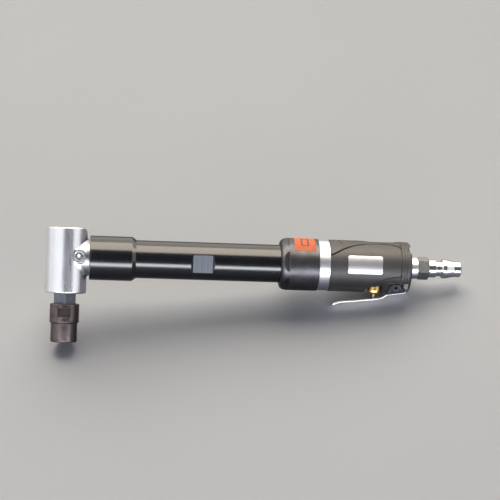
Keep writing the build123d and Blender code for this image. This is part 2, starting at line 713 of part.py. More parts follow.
with BuildPart() as rotor:
    revolve(tube_profile(DRIVE_SIDE, *ROTOR_X, ROTOR_R), DRIVE_AXIS)
    extrude(vane_slabs(VANE[0] + 0.3, VANE[1] + 0.1), amount=40, mode=Mode.SUBTRACT)
    with BuildSketch(drive_across(ROTOR_X[0])) as slot_mouths:
        with PolarLocations(ROTOR_R, VANE_COUNT):
            Rectangle(1.0, VANE[1] + 0.1)
    extrude(amount=40, mode=Mode.SUBTRACT)
    revolve(tube_profile(DRIVE_SIDE, 151.5, 205.0, SHAFT_R), DRIVE_AXIS)
    extrude(hexagon(drive_across(146.4), DRIVE_HEX), amount=6)
save(rotor, "rotor")

with BuildPart() as rotor_vanes:
    extrude(vane_slabs(*VANE), amount=ROTOR_X[1] - ROTOR_X[0])
save(rotor_vanes, "rotor_vanes")

# ---- grip and rating plate ----------------------------------------------------------------

NOTCH_R = 2.2
with BuildPart() as grip_sleeve:
    front, rear = GRIP_X
    body = [
        (front + FIT, HOUSING_R + FIT),
        (front + FIT, GRIP_R - 0.3),
        (front + 0.3, GRIP_R),
        (rear - 1.6, GRIP_R),
        (rear - 0.5, GRIP_R - 0.5),
        (rear, GRIP_R - 1.6),
        (rear, HOUSING_R + FIT),
    ]
    revolve(outline(DRIVE_SIDE, body), DRIVE_AXIS)
    extrude(recess_profile(RECESS_Z - BODY_Z), amount=-50, mode=Mode.SUBTRACT)
    notch = disc(facing_front(-25), NOTCH_R, (rear - 0.2, 12.3))
    extrude(notch, amount=-50, mode=Mode.SUBTRACT)
    with Locations((VALVE_X, 0, BODY_Z - 15)):
        Cylinder(CHAMBER_R + 0.3, 10, mode=Mode.SUBTRACT)
save(grip_sleeve, "grip_sleeve")

PLATE_X = (191.8, 215.6)
PLATE_Z = (-4.7, 7.5)
with BuildPart() as rating_plate:
    with BuildSketch(facing_front(-19)) as face:
        with Locations(((PLATE_X[0] + PLATE_X[1]) / 2, (PLATE_Z[0] + PLATE_Z[1]) / 2)):
            RectangleRounded(PLATE_X[1] - PLATE_X[0], PLATE_Z[1] - PLATE_Z[0], 1.2)
    extrude(amount=-6)
    wrap = tube_profile(DRIVE_SIDE, 185, 220, GRIP_R + 0.25, GRIP_R + FIT)
    revolve(wrap, DRIVE_AXIS, mode=Mode.INTERSECT)
save(rating_plate, "rating_plate")

# ---- throttle -----------------------------------------------------------------------------

with BuildPart() as throttle_lever:
    with BuildSketch(facing_front(LEVER_HALF)) as plate:
        with BuildLine():
            FilletPolyline(
                (184.1, -26.9),
                (187.3, -25.0),
                (216.1, -21.95),
                (221.9, -18.75),
                (233.9, -17.15),
                (233.9, -12.4),
                radius=(1.6, 3.0, 3.0, 0.9),
            )
        trace(line_width=LEVER_THICK)
    extrude(amount=2 * LEVER_HALF)
    for y in (LEVER_HALF, -LEVER_HALF + LEVER_THICK):
        ear = [
            (221.2, -19.4),
            (224.3, -13.4),
            (225.6, -12.0),
            (229.4, -12.0),
            (231.0, -14.6),
            (234.1, -14.6),
            (234.1, -17.4),
        ]
        extrude(outline(facing_front(y), ear), amount=LEVER_THICK)
    pin_hole = disc(facing_front(-20), PIN_R + RUN, (PIVOT_X, PIVOT_Z - BODY_Z))
    extrude(pin_hole, amount=-40, mode=Mode.SUBTRACT)
    fillet(edges().filter_by(Axis.Z).group_by(Axis.X)[0], 0.3)
save(throttle_lever, "throttle_lever")

with BuildPart() as lever_pin:
    pin_end = facing_front(LEVER_HALF + 0.4)
    extrude(disc(pin_end, PIN_R, (PIVOT_X, PIVOT_Z - BODY_Z)), amount=2 * LEVER_HALF + 0.8)
    extrude(
        disc(pin_end, PIN_R - 0.8, (PIVOT_X, PIVOT_Z - BODY_Z)), amount=2 * LEVER_HALF + 0.8,
        mode=Mode.SUBTRACT,
    )
save(lever_pin, "lever_pin")

VALVE_AXIS = Axis((VALVE_X, 0, 0), (0, 0, 1))
VALVE_SIDE = Plane((VALVE_X, 0, BODY_Z), x_dir=(0, 0, 1), z_dir=(0, 1, 0))
STEM_R = 1.0
SEAT_Z = -3.0
with BuildPart() as valve_bushing:
    body = [
        (-18.95, STEM_R + RUN),
        (-18.95, 2.4),
        (-18.5, 3.5),
        (-17.7, 4.3),
        (-16.5, 4.6 - FIT),
        (SEAT_Z, 4.6 - FIT),
        (SEAT_Z, 2.4),
        (-8.0, 2.4),
        (-8.0, STEM_R + RUN),
    ]
    revolve(outline(VALVE_SIDE, body), VALVE_AXIS)
    extrude(disc(drive_across(205), 1.5, (6.0, 0)), amount=8, mode=Mode.SUBTRACT)
save(valve_bushing, "valve_bushing")

with BuildPart() as valve_seat_ring:
    revolve(tube_profile(VALVE_SIDE, SEAT_Z + FIT, SEAT_Z + 1.0, 4.5, 2.5), VALVE_AXIS)
save(valve_seat_ring, "valve_seat_ring")

STEM_BOTTOM = -21.45
HEAD_BASE = SEAT_Z + 1.0 + FIT
with BuildPart() as valve_stem:
    body = [
        (STEM_BOTTOM, 0),
        (STEM_BOTTOM, STEM_R - 0.2),
        (STEM_BOTTOM + 0.2, STEM_R),
        (HEAD_BASE, STEM_R),
        (HEAD_BASE, 3.4),
        (HEAD_BASE + 1.8, 3.4),
        (HEAD_BASE + 1.8, 1.8),
        (HEAD_BASE + 3.4, 1.8),
        (HEAD_BASE + 3.4, 0),
    ]
    revolve(outline(VALVE_SIDE, body), VALVE_AXIS)
save(valve_stem, "valve_stem")

SPRING_WIRE_R = 0.35
SPRING_R = 2.6
SPRING_Z = (HEAD_BASE + 1.8 + 0.05, 7.95)
with BuildPart() as valve_spring:
    with BuildLine() as coil:
        coil_height = SPRING_Z[1] - SPRING_Z[0] - 2 * SPRING_WIRE_R
        coil_start = (VALVE_X, 0, BODY_Z + SPRING_Z[0] + SPRING_WIRE_R)
        Helix(1.5, coil_height, SPRING_R, center=coil_start)
    with BuildSketch(Plane(coil.line @ 0, z_dir=coil.line % 0)) as wire:
        Circle(SPRING_WIRE_R)
    sweep()
save(valve_spring, "valve_spring")

# ---- air inlet and exhaust ----------------------------------------------------------------

THREAD_R = 5.9
with BuildPart() as inlet_bushing:
    front = INLET_SEAT_X + RUN
    body = [
        (front, 3.2),
        (front, INLET_THREAD_R - FIT),
        (HOUSING_X[1] + FIT, INLET_THREAD_R - FIT),
        (HOUSING_X[1] + FIT, INLET_R),
        (INLET_END_X - 0.5, INLET_R),
        (INLET_END_X, INLET_R - 0.5),
        (INLET_END_X, THREAD_R + FIT),
        (231.0, THREAD_R + FIT),
        (231.0, 5.4),
        (229.0, 5.4),
        (229.0, 3.2),
    ]
    revolve(outline(DRIVE_SIDE, body), DRIVE_AXIS)
save(inlet_bushing, "inlet_bushing")

with BuildPart() as inlet_screen:
    revolve(tube_profile(DRIVE_SIDE, 229.0 + FIT, 229.8, 5.4 - FIT), DRIVE_AXIS)
    with BuildSketch(drive_across(228.5)) as mesh_holes:
        with GridLocations(1.6, 1.6, 5, 5):
            Rectangle(1.0, 1.0)
    extrude(amount=2, mode=Mode.SUBTRACT)
save(inlet_screen, "inlet_screen")

with BuildPart() as seal_washer:
    revolve(tube_profile(DRIVE_SIDE, INLET_END_X + FIT, INLET_END_X + 0.3, 6.9, THREAD_R + FIT), DRIVE_AXIS)
save(seal_washer, "seal_washer")

PLUG_HEX_X = (242.81, 250.4)
PLUG_TURN = -10.0           # tilts the front facet of the hexagon slightly upwards
with BuildPart() as coupler_plug:
    body = [
        (232.0, 0),
        (232.0, THREAD_R - 0.4),
        (232.4, THREAD_R),
        (PLUG_HEX_X[1], THREAD_R),
        (PLUG_HEX_X[1], 6.2),
        (255.4, 6.2),
        (255.8, 5.8),
        (255.8, 5.2),
        (259.5, 5.2),
        (259.9, 6.2),
        (260.4, 6.6),
        (262.9, 6.6),
        (NOSE_X[0] - 0.1, 5.5),
        (NOSE_X[0], NOSE_R),
        (NOSE_X[1] - 0.7, NOSE_R),
        (NOSE_X[1], NOSE_R - 0.7),
        (NOSE_X[1], 0),
    ]
    revolve(outline(DRIVE_SIDE, body), DRIVE_AXIS)
    extrude(hexagon(drive_across(PLUG_HEX_X[0]), PLUG_HEX, PLUG_TURN), amount=PLUG_HEX_X[1] - PLUG_HEX_X[0])
    rounder = [
        (231, 0),
        (231, 7.4),
        (PLUG_HEX_X[0], 7.4),
        (PLUG_HEX_X[0] + 0.7, 8.2),
        (PLUG_HEX_X[1] - 0.7, 8.2),
        (PLUG_HEX_X[1], 7.4),
        (275, 7.4),
        (275, 0),
    ]
    revolve(outline(DRIVE_SIDE, rounder), DRIVE_AXIS, mode=Mode.INTERSECT)
    revolve(tube_profile(DRIVE_SIDE, 231, 275, 3.2), DRIVE_AXIS, mode=Mode.SUBTRACT)
save(coupler_plug, "coupler_plug")

RING_BORE_R = INLET_R + 0.1
with BuildPart() as exhaust_felt:
    revolve(tube_profile(DRIVE_SIDE, 231.6, 233.2, 15.2, RING_BORE_R), DRIVE_AXIS)
    with Locations((232.4, 0, BODY_Z - 15.5)):
        Box(4, 32, 9, mode=Mode.SUBTRACT)
save(exhaust_felt, "exhaust_felt")

with BuildPart() as exhaust_cover:
    revolve(tube_profile(DRIVE_SIDE, 233.3, 235.3, HOUSING_R, RING_BORE_R), DRIVE_AXIS)
    with BuildSketch(drive_across(233)) as vents:
        with PolarLocations(11.6, 12, start_angle=15):
            SlotOverall(5.0, 1.8)
    extrude(amount=3, mode=Mode.SUBTRACT)
    with Locations((234, 0, BODY_Z - 15.5)):
        Box(4, 32, 9, mode=Mode.SUBTRACT)
save(exhaust_cover, "exhaust_cover")
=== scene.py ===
"""Looks of the long-reach angle die grinder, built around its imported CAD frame.

Lengths in the shape functions are millimetres in the row frame; meshes are stored in metres.
A field is a signed distance function of x, y, z arrays: negative inside the solid.
"""

import json
import math

import bmesh
import bpy
import numpy as np
from mathutils import Matrix, Vector


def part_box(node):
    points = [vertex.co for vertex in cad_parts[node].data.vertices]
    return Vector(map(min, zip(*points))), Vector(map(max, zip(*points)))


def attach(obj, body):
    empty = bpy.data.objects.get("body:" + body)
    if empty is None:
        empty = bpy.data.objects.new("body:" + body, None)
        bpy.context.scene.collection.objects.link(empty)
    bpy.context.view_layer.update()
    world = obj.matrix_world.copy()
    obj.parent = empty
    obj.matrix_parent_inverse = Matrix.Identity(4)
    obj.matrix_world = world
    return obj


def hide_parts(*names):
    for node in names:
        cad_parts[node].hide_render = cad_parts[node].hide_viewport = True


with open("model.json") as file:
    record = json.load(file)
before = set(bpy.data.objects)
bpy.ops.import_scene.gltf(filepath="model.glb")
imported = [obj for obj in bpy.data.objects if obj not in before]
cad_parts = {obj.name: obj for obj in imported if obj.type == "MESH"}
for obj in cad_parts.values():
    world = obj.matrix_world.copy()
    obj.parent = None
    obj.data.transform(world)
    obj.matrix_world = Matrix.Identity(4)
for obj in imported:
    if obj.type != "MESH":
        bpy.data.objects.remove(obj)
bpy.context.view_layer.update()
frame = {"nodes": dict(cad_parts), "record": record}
NODES = frame["nodes"]
MM = 0.001


def node_mm(node):
    """Lowest and highest corners of a CAD node in millimetres."""
    low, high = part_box(node)
    return np.array(low) / MM, np.array(high) / MM


# ---- sizes read from the frame ------------------------------------------------------------

HEAD_LOW, HEAD_HIGH = node_mm("angle_head")
COUPLING_LOW, COUPLING_HIGH = node_mm("coupling_nut")
CAP_LOW, CAP_HIGH = node_mm("front_cap")
BAND_LOW, BAND_HIGH = node_mm("silver_band")
GRIP_LOW, GRIP_HIGH = node_mm("grip_sleeve")
NUT_TOP = node_mm("collet_nut")[1][2]
PIN_LOW, PIN_HIGH = node_mm("lever_pin")
BUSHING_LOW, BUSHING_HIGH = node_mm("valve_bushing")
LEVER_LOW, LEVER_HIGH = node_mm("throttle_lever")
FITTING_LOW, FITTING_HIGH = node_mm("grease_fitting")

BODY_Z = (BAND_LOW[2] + BAND_HIGH[2]) / 2
HEAD_R = -HEAD_LOW[0]
COUPLING_R = (COUPLING_HIGH[1] - COUPLING_LOW[1]) / 2
CAP_R = (CAP_HIGH[1] - CAP_LOW[1]) / 2
GRIP_R = (GRIP_HIGH[1] - GRIP_LOW[1]) / 2
PIN_R = (PIN_HIGH[0] - PIN_LOW[0]) / 2
PIVOT = ((PIN_LOW[0] + PIN_HIGH[0]) / 2, (PIN_LOW[2] + PIN_HIGH[2]) / 2)
VALVE_X = (BUSHING_LOW[0] + BUSHING_HIGH[0]) / 2

# ---- fields -------------------------------------------------------------------------------


def soft_min(a, b, k):
    """Union with a fillet of about k."""
    h = np.clip(0.5 + 0.5 * (b - a) / k, 0, 1)
    return b + (a - b) * h - k * h * (1 - h)


def soft_max(a, b, k):
    """Intersection with a rounded edge of about k."""
    return -soft_min(-a, -b, k)


def cut(a, b, k):
    """Field a with b taken away, its edge rounded by about k."""
    return soft_max(a, -b, k)


def rounded_rod(radial, along, radius, low, high, k):
    """A rod between two ends, with its end edges rounded by k."""
    dr = radial - radius + k
    da = np.abs(along - (low + high) / 2) - (high - low) / 2 + k
    outside = np.hypot(np.maximum(dr, 0), np.maximum(da, 0))
    return outside + np.minimum(np.maximum(dr, da), 0) - k


def path_distance(x, z, points):
    """Distance in a plane to a line through some points."""
    best = None
    for (ax, az), (bx, bz) in zip(points, points[1:]):
        length2 = (bx - ax) ** 2 + (bz - az) ** 2
        t = np.clip(((x - ax) * (bx - ax) + (z - az) * (bz - az)) / length2, 0, 1)
        distance = np.hypot(x - ax - t * (bx - ax), z - az - t * (bz - az))
        best = distance if best is None else np.minimum(best, distance)
    return best


def polygon_field(x, z, points):
    """Signed distance in a plane to a closed outline."""
    distance = path_distance(x, z, points + points[:1])
    inside = np.zeros(np.shape(x), bool)
    for (ax, az), (bx, bz) in zip(points, points[1:] + points[:1]):
        crosses = (az > z) != (bz > z)
        span = bz - az if bz != az else 1.0
        inside ^= crosses & (x < ax + (bx - ax) * (z - az) / span)
    return np.where(inside, -distance, distance)


def smooth_step(value, low, high):
    """0 below low, 1 above high, with a smooth change between."""
    t = np.clip((value - low) / (high - low), 0, 1)
    return t * t * (3 - 2 * t)


def ridge(distance, width):
    """1 at a distance of 0, falling off smoothly over about a width."""
    return np.exp(-(distance / width) ** 2)


def smooth_path(points, steps=10):
    """A Catmull-Rom line through some points."""

    def between(a, b, c, d, t):
        bend = (2 * a - 5 * b + 4 * c - d) * t * t + (3 * b - a - 3 * c + d) * t ** 3
        return 0.5 * (2 * b + (c - a) * t + bend)

    padded = [points[0]] + list(points) + [points[-1]]
    line = []
    for near in zip(padded, padded[1:], padded[2:], padded[3:]):
        for step in range(steps):
            line.append(tuple(between(*values, step / steps) for values in zip(*near)))
    return line + [points[-1]]


# ---- meshes -------------------------------------------------------------------------------


def new_piece(name, points_mm, faces, sharp=None):
    """A smooth mesh object from points in millimetres. Edges over sharp degrees stay sharp."""
    mesh = bpy.data.meshes.new(name)
    points = [tuple(point) for point in np.asarray(points_mm) * MM]
    mesh.from_pydata(points, [], [tuple(face) for face in faces])
    mesh.update()
    mesh.polygons.foreach_set("use_smooth", [True] * len(mesh.polygons))
    if sharp is not None:
        mesh.set_sharp_from_angle(angle=math.radians(sharp))
    piece = bpy.data.objects.new(name, mesh)
    bpy.context.scene.collection.objects.link(piece)
    return piece


def edge_ends(axis):
    """Index of the near ends and of the far ends of all grid edges along one axis."""
    near = tuple(slice(0, -1) if a == axis else slice(None) for a in range(3))
    far = tuple(slice(1, None) if a == axis else slice(None) for a in range(3))
    return near, far


def net_points(grid, values, cell):
    """A point in each cell that the surface crosses, and each such cell's point number."""
    inside = values < 0
    shape = tuple(n - 1 for n in values.shape)
    total = np.zeros(shape + (3,))
    count = np.zeros(shape)
    for axis in range(3):
        others = [a for a in range(3) if a != axis]
        near, far = edge_ends(axis)
        crossing = inside[near] != inside[far]
        with np.errstate(divide="ignore", invalid="ignore"):
            t = np.where(crossing, values[near] / (values[near] - values[far]), 0.0)
        position = np.stack([grid[a][near] for a in range(3)], -1)
        position[..., axis] += t * cell
        for da in (0, 1):
            for db in (0, 1):
                window = [slice(None)] * 3
                window[others[0]] = slice(da, shape[others[0]] + da)
                window[others[1]] = slice(db, shape[others[1]] + db)
                window = tuple(window)
                hit = crossing[window]
                count += hit
                total += position[window] * hit[..., None]
    used = count > 0
    number = np.full(shape, -1)
    number[used] = np.arange(used.sum())
    return total[used] / count[used][:, None], number


def net_faces(inside, number):
    """A quad across each grid edge that the surface crosses, facing outwards."""
    shape = number.shape
    quads = []
    for axis, (b, c) in enumerate(((1, 2), (2, 0), (0, 1))):
        near, far = edge_ends(axis)
        edge = np.argwhere(inside[near] != inside[far])
        within = (edge[:, b] > 0) & (edge[:, c] > 0)
        within &= (edge[:, b] < shape[b]) & (edge[:, c] < shape[c])
        edge = edge[within]
        outward = inside[near][tuple(edge.T)]
        corners = []
        for db, dc in ((1, 1), (0, 1), (0, 0), (1, 0)):
            neighbour = edge.copy()
            neighbour[:, b] -= db
            neighbour[:, c] -= dc
            corners.append(number[tuple(neighbour.T)])
        quad = np.stack(corners, -1)
        quads += [quad[outward], quad[~outward][:, ::-1]]
    return np.concatenate(quads)


def onto_surface(field, points, cell, rounds=5):
    """Move points along the field's slope until they lie on its surface."""
    h = cell * 0.1
    for _ in range(rounds):
        rise = [field(*(points + step).T) - field(*(points - step).T) for step in np.eye(3) * h]
        slope = np.stack(rise, -1) / (2 * h)
        steepness = np.maximum((slope ** 2).sum(1), 0.05)
        move = field(*points.T)[:, None] * slope / steepness[:, None]
        points = points - np.clip(move, -cell * 0.5, cell * 0.5)
    return points


def field_mesh(name, field, low, high, cell):
    """Skin of a field by surface nets, with its points then moved onto the true surface."""
    axes = [np.arange(a - 2 * cell, b + 3 * cell, cell) for a, b in zip(low, high)]
    grid = np.meshgrid(*axes, indexing="ij")
    values = field(*grid)
    points, number = net_points(grid, values, cell)
    faces = net_faces(values < 0, number)
    return new_piece(name, onto_surface(field, points, cell), faces)


def corner_arc(previous, corner, following, radius, steps=5):
    """Points that round one corner of a profile."""
    a, b, c = (np.array(p, float) for p in (previous, corner, following))
    before, after = np.linalg.norm(a - b), np.linalg.norm(c - b)
    u, v = (a - b) / before, (c - b) / after
    half = math.acos(max(-1.0, min(1.0, float(u @ v)))) / 2
    reach = min(radius / math.tan(half), 0.49 * before, 0.49 * after)
    radius = reach * math.tan(half)
    centre = b + (u + v) / np.linalg.norm(u + v) * radius / math.sin(half)
    start, end = b + u * reach - centre, b + v * reach - centre
    turn = math.pi - 2 * half
    arc = []
    for step in range(steps + 1):
        t = step / steps
        direction = start * math.sin((1 - t) * turn) + end * math.sin(t * turn)
        arc.append(tuple(centre + direction / math.sin(turn)))
    return arc


def turned(name, profile, on_spindle=False, segments=144):
    """A closed ring turned about the body's axis, or about the spindle's.

    A profile point is (along, radius) or (along, radius, rounding).
    """
    line = []
    for index, point in enumerate(profile):
        if len(point) == 3:
            following = profile[(index + 1) % len(profile)]
            line += corner_arc(profile[index - 1][:2], point[:2], following[:2], point[2])
        else:
            line.append(point)
    along, radius = np.array(line).T
    points = []
    for step in range(segments):
        angle = 2 * math.pi * step / segments
        c, s = math.cos(angle), math.sin(angle)
        if on_spindle:
            points.append(np.stack([radius * c, radius * s, along], -1))
        else:
            points.append(np.stack([along, radius * c, BODY_Z + radius * s], -1))
    count = len(line)
    faces = []
    for step in range(segments):
        a, b = step * count, ((step + 1) % segments) * count
        for k in range(count):
            faces.append((a + k, a + (k + 1) % count, b + (k + 1) % count, b + k))
    piece = new_piece(name, np.concatenate(points), faces, sharp=35)
    face_outwards(piece)
    return piece


def face_outwards(piece):
    """Turn every face to point out of the closed mesh."""
    work = bmesh.new()
    work.from_mesh(piece.data)
    bmesh.ops.recalc_face_normals(work, faces=work.faces)
    work.to_mesh(piece.data)
    work.free()


def apply_modifiers(piece):
    """Replace the mesh by its modified form."""
    graph = bpy.context.evaluated_depsgraph_get()
    mesh = bpy.data.meshes.new_from_object(piece.evaluated_get(graph))
    piece.modifiers.clear()
    piece.data = mesh


def subtract(piece, cutters, bevel, sharp=30):
    """Cut solids out of a piece, then round every edge over sharp degrees by bevel."""
    for cutter in cutters:
        boolean = piece.modifiers.new("cut", "BOOLEAN")
        boolean.operation = "DIFFERENCE"
        boolean.solver = "EXACT"
        boolean.object = cutter
    apply_modifiers(piece)
    for cutter in cutters:
        bpy.data.objects.remove(cutter)
    edge = piece.modifiers.new("edge", "BEVEL")
    edge.width = bevel * MM
    edge.segments = 3
    edge.limit_method = "ANGLE"
    edge.angle_limit = math.radians(sharp)
    edge.harden_normals = True
    apply_modifiers(piece)


def block(low, high):
    """A box cutter between two corners."""
    (x0, y0, z0), (x1, y1, z1) = low, high
    corners = [(x, y, z) for x in (x0, x1) for y in (y0, y1) for z in (z0, z1)]
    faces = [(0, 1, 3, 2), (4, 6, 7, 5), (0, 4, 5, 1), (2, 3, 7, 6), (0, 2, 6, 4), (1, 5, 7, 3)]
    return new_piece("cutter", corners, faces)


def stand_for(piece, node, body, slot):
    """Let a piece take a CAD node's place in the picture."""
    piece.data.materials.clear()
    piece.data.materials.append(MATERIALS[slot])
    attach(piece, body)
    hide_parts(node)


def repaint(piece, name, chosen):
    """Give the faces picked by chosen(centre in mm, normal) another material."""
    piece.data.materials.append(MATERIALS[name])
    last = len(piece.data.materials) - 1
    for face in piece.data.polygons:
        if chosen(face.center / MM, face.normal):
            face.material_index = last


# ---- materials ----------------------------------------------------------------------------

GROOVE_SHADE_ATTRIBUTE = "groove_shade"             # point attribute of the grip: how deep a point is in a line, used for painted shade in the lines
PLUG_SHOULDER_R = 6.75      # only the plug's hexagon lies further from the body's axis


class Finish:
    """A node material built step by step around one Principled shader."""

    def __init__(self, name, metallic, roughness, specular=0.5):
        self.name = name
        self.material = bpy.data.materials.new(name)
        self.material.use_nodes = True
        self.nodes = self.material.node_tree.nodes
        self.shader = self.nodes["Principled BSDF"]
        self.shader.inputs["Metallic"].default_value = metallic
        self.shader.inputs["Roughness"].default_value = roughness
        self.shader.inputs["Specular IOR Level"].default_value = specular
        self.place = self.nodes.new("ShaderNodeTexCoord").outputs["Object"]
        self.normal = None

    def link(self, source, target):
        """Feed a node's output to an input."""
        self.material.node_tree.links.new(source, target)

    def texture(self, kind, scale, output):
        """A texture node and its output. The scale is cycles per metre for each axis."""
        mapping = self.nodes.new("ShaderNodeMapping")
        mapping.inputs["Scale"].default_value = scale
        self.link(self.place, mapping.inputs["Vector"])
        texture = self.nodes.new(kind)
        texture.inputs["Scale"].default_value = 1.0
        self.link(mapping.outputs["Vector"], texture.inputs["Vector"])
        return texture, texture.outputs[output]

    def noise(self, scale, detail=3.0):
        """Cloudy noise from 0 to 1."""
        texture, output = self.texture("ShaderNodeTexNoise", scale, "Fac")
        texture.inputs["Detail"].default_value = detail
        texture.inputs["Roughness"].default_value = 0.55
        return output

    def cells(self, scale):
        """Distance to the nearest point of a random cell pattern."""
        return self.texture("ShaderNodeTexVoronoi", scale, "Distance")[1]

    def spread(self, source, low, high, out_low=0.0, out_high=1.0):
        """Stretch the range low..high of a value to another range."""
        ramp = self.nodes.new("ShaderNodeMapRange")
        ramp.inputs["From Min"].default_value = low
        ramp.inputs["From Max"].default_value = high
        ramp.inputs["To Min"].default_value = out_low
        ramp.inputs["To Max"].default_value = out_high
        self.link(source, ramp.inputs["Value"])
        return ramp.outputs["Result"]

    def blend(self, factor, first, second):
        """Mix two colours, each a colour or a node's output."""
        mix = self.nodes.new("ShaderNodeMix")
        mix.data_type = "RGBA"
        self.link(factor, mix.inputs["Factor"])
        for value, socket in ((first, mix.inputs["A"]), (second, mix.inputs["B"])):
            if isinstance(value, tuple):
                socket.default_value = (*value, 1.0)
            else:
                self.link(value, socket)
        return mix.outputs["Result"]

    def vector_math(self, operation, first, second=None):
        """A vector node on one or two values, each a tuple or a node's output."""
        node = self.nodes.new("ShaderNodeVectorMath")
        node.operation = operation
        for value, socket in zip((first, second), node.inputs):
            if isinstance(value, tuple):
                socket.default_value = value
            elif value is not None:
                self.link(value, socket)
        return node.outputs

    def rounded_normal(self, radius):
        """The normal as it would be with the edges rounded by a radius."""
        node = self.nodes.new("ShaderNodeBevel")
        node.samples = 6
        node.inputs["Radius"].default_value = radius * MM
        return node.outputs["Normal"]

    def worn_edges(self, radius):
        """1 on outside edges, 0 on flat areas."""
        plain = self.nodes.new("ShaderNodeNewGeometry").outputs["Normal"]
        alike = self.vector_math("DOT_PRODUCT", self.rounded_normal(radius), plain)["Value"]
        return self.spread(alike, 0.99, 0.90)

    def beyond(self, radius):
        """1 where a point is further than a radius from the body's axis."""
        offset = self.vector_math("SUBTRACT", self.place, (0.0, 0.0, BODY_Z * MM))["Vector"]
        across = self.vector_math("MULTIPLY", offset, (0.0, 1.0, 1.0))["Vector"]
        length = self.vector_math("LENGTH", across)["Value"]
        return self.spread(length, (radius - 0.1) * MM, (radius + 0.1) * MM)

    def soft_edges(self, radius):
        """Round the look of sharp edges."""
        self.normal = self.rounded_normal(radius)
        self.link(self.normal, self.shader.inputs["Normal"])

    def bump(self, height, strength, distance_mm):
        """Add a relief of a given depth to the surface."""
        node = self.nodes.new("ShaderNodeBump")
        node.inputs["Strength"].default_value = strength
        node.inputs["Distance"].default_value = distance_mm * MM
        self.link(height, node.inputs["Height"])
        if self.normal is not None:
            self.link(self.normal, node.inputs["Normal"])
        self.normal = node.outputs["Normal"]
        self.link(self.normal, self.shader.inputs["Normal"])

    def colour(self, source):
        """Set the base colour to a node's output."""
        self.link(source, self.shader.inputs["Base Color"])

    def roughness(self, source):
        """Set the roughness to a node's output."""
        self.link(source, self.shader.inputs["Roughness"])


def even(scale):
    """The same texture scale along all three axes."""
    return (scale, scale, scale)


def metal(name, light, dark, rough, grain, relief, polish=None):
    """Metal with a fine machined grain and a cloudy tone.

    polish is (grain, lowest, highest) where the roughness doesn't follow the machined grain.
    """
    finish = Finish(name, 1.0, rough)
    finish.soft_edges(0.15)
    cloud = finish.noise(even(60))
    lines = finish.noise(grain, 2.0)
    finish.colour(finish.blend(finish.spread(cloud, 0.35, 0.65), dark, light))
    if polish:
        finish.roughness(finish.spread(finish.noise(polish[0], 2.0), 0.3, 0.7, *polish[1:]))
    else:
        finish.roughness(finish.spread(lines, 0.25, 0.75, rough * 0.75, rough * 1.3))
    finish.bump(lines, 0.35, relief)
    return finish


def plain_soft(name, light, dark, rough, grain, depth):
    """Felt, moulded plastic or rubber with a pebbled skin."""
    finish = Finish(name, 0.0, rough)
    cloud = finish.noise(even(200), 4.0)
    finish.colour(finish.blend(finish.spread(cloud, 0.3, 0.7), dark, light))
    finish.bump(finish.cells(even(grain)), 0.5, depth)
    return finish


def polished_aluminium():
    """The head: polished lengthwise, with slight dents."""
    polish = ((1500, 1500, 50), 0.26, 0.32)
    light, dark = (0.84, 0.85, 0.88), (0.77, 0.78, 0.82)
    finish = metal("polished_aluminium", light, dark, 0.29, (1500, 1500, 60), 0.0005, polish)
    finish.bump(finish.noise((60, 60, 14), 1.0), 0.1, 0.02)
    return finish


def phosphated_steel():
    """The collet nut: brown phosphate with bare edges."""
    finish = Finish("phosphated_steel", 0.85, 0.42)
    finish.soft_edges(0.2)
    cloud = finish.spread(finish.noise(even(250), 5.0), 0.3, 0.7)
    base = finish.blend(cloud, (0.095, 0.073, 0.073), (0.160, 0.130, 0.130))
    finish.colour(finish.blend(finish.worn_edges(0.3), base, (0.34, 0.31, 0.30)))
    grain = finish.noise(even(2600), 2.0)
    finish.roughness(finish.spread(grain, 0.2, 0.8, 0.22, 0.36))
    finish.bump(grain, 0.5, 0.02)
    return finish


def pocket_shade_steel():
    """The collet nut's spanner pockets: the steel darkened with painted shade."""
    finish = Finish("pocket_shade_steel", 0.6, 0.6)
    cloud = finish.noise(even(900), 4.0)
    tone = finish.spread(cloud, 0.3, 0.7)
    # painted shade: near-black colour for the pockets' recessed faces
    finish.colour(finish.blend(tone, (0.030, 0.022, 0.022), (0.05, 0.036, 0.036)))
    finish.bump(cloud, 0.5, 0.03)
    return finish


def black_anodised():
    """The tube and coupling nut: glossy black with turning lines."""
    finish = Finish("black_anodised", 0.0, 0.18, specular=0.9)
    finish.soft_edges(0.15)
    cloud = finish.spread(finish.noise(even(70), 4.0), 0.35, 0.65)
    base = finish.blend(cloud, (0.006, 0.006, 0.008), (0.010, 0.010, 0.013))
    finish.colour(finish.blend(finish.worn_edges(0.25), base, (0.10, 0.10, 0.11)))
    rings = finish.noise((4500, 40, 40), 2.0)
    finish.roughness(finish.spread(rings, 0.25, 0.75, 0.17, 0.24))
    finish.bump(rings, 0.25, 0.003)
    return finish


def milled_black():
    """The tube's spanner flats, with lines across from the cutter."""
    finish = Finish("milled_black", 0.6, 0.42, specular=0.6)
    lines = finish.noise((3200, 60, 60), 2.0)
    tone = finish.spread(lines, 0.3, 0.7)
    finish.colour(finish.blend(tone, (0.085, 0.092, 0.11), (0.13, 0.14, 0.165)))
    finish.roughness(finish.spread(lines, 0.25, 0.75, 0.38, 0.52))
    finish.bump(lines, 0.5, 0.01)
    return finish


def black_steel():
    """The front cap: satin black with fine turning lines and bare edges."""
    finish = Finish("black_steel", 0.75, 0.30)
    finish.soft_edges(0.25)
    cloud = finish.spread(finish.noise(even(120), 4.0), 0.35, 0.65)
    base = finish.blend(cloud, (0.066, 0.066, 0.073), (0.108, 0.106, 0.115))
    finish.colour(finish.blend(finish.worn_edges(0.3), base, (0.30, 0.30, 0.31)))
    rings = finish.noise((3800, 90, 90), 3.0)
    finish.roughness(finish.spread(rings, 0.25, 0.75, 0.29, 0.41))
    finish.bump(rings, 0.4, 0.008)
    return finish


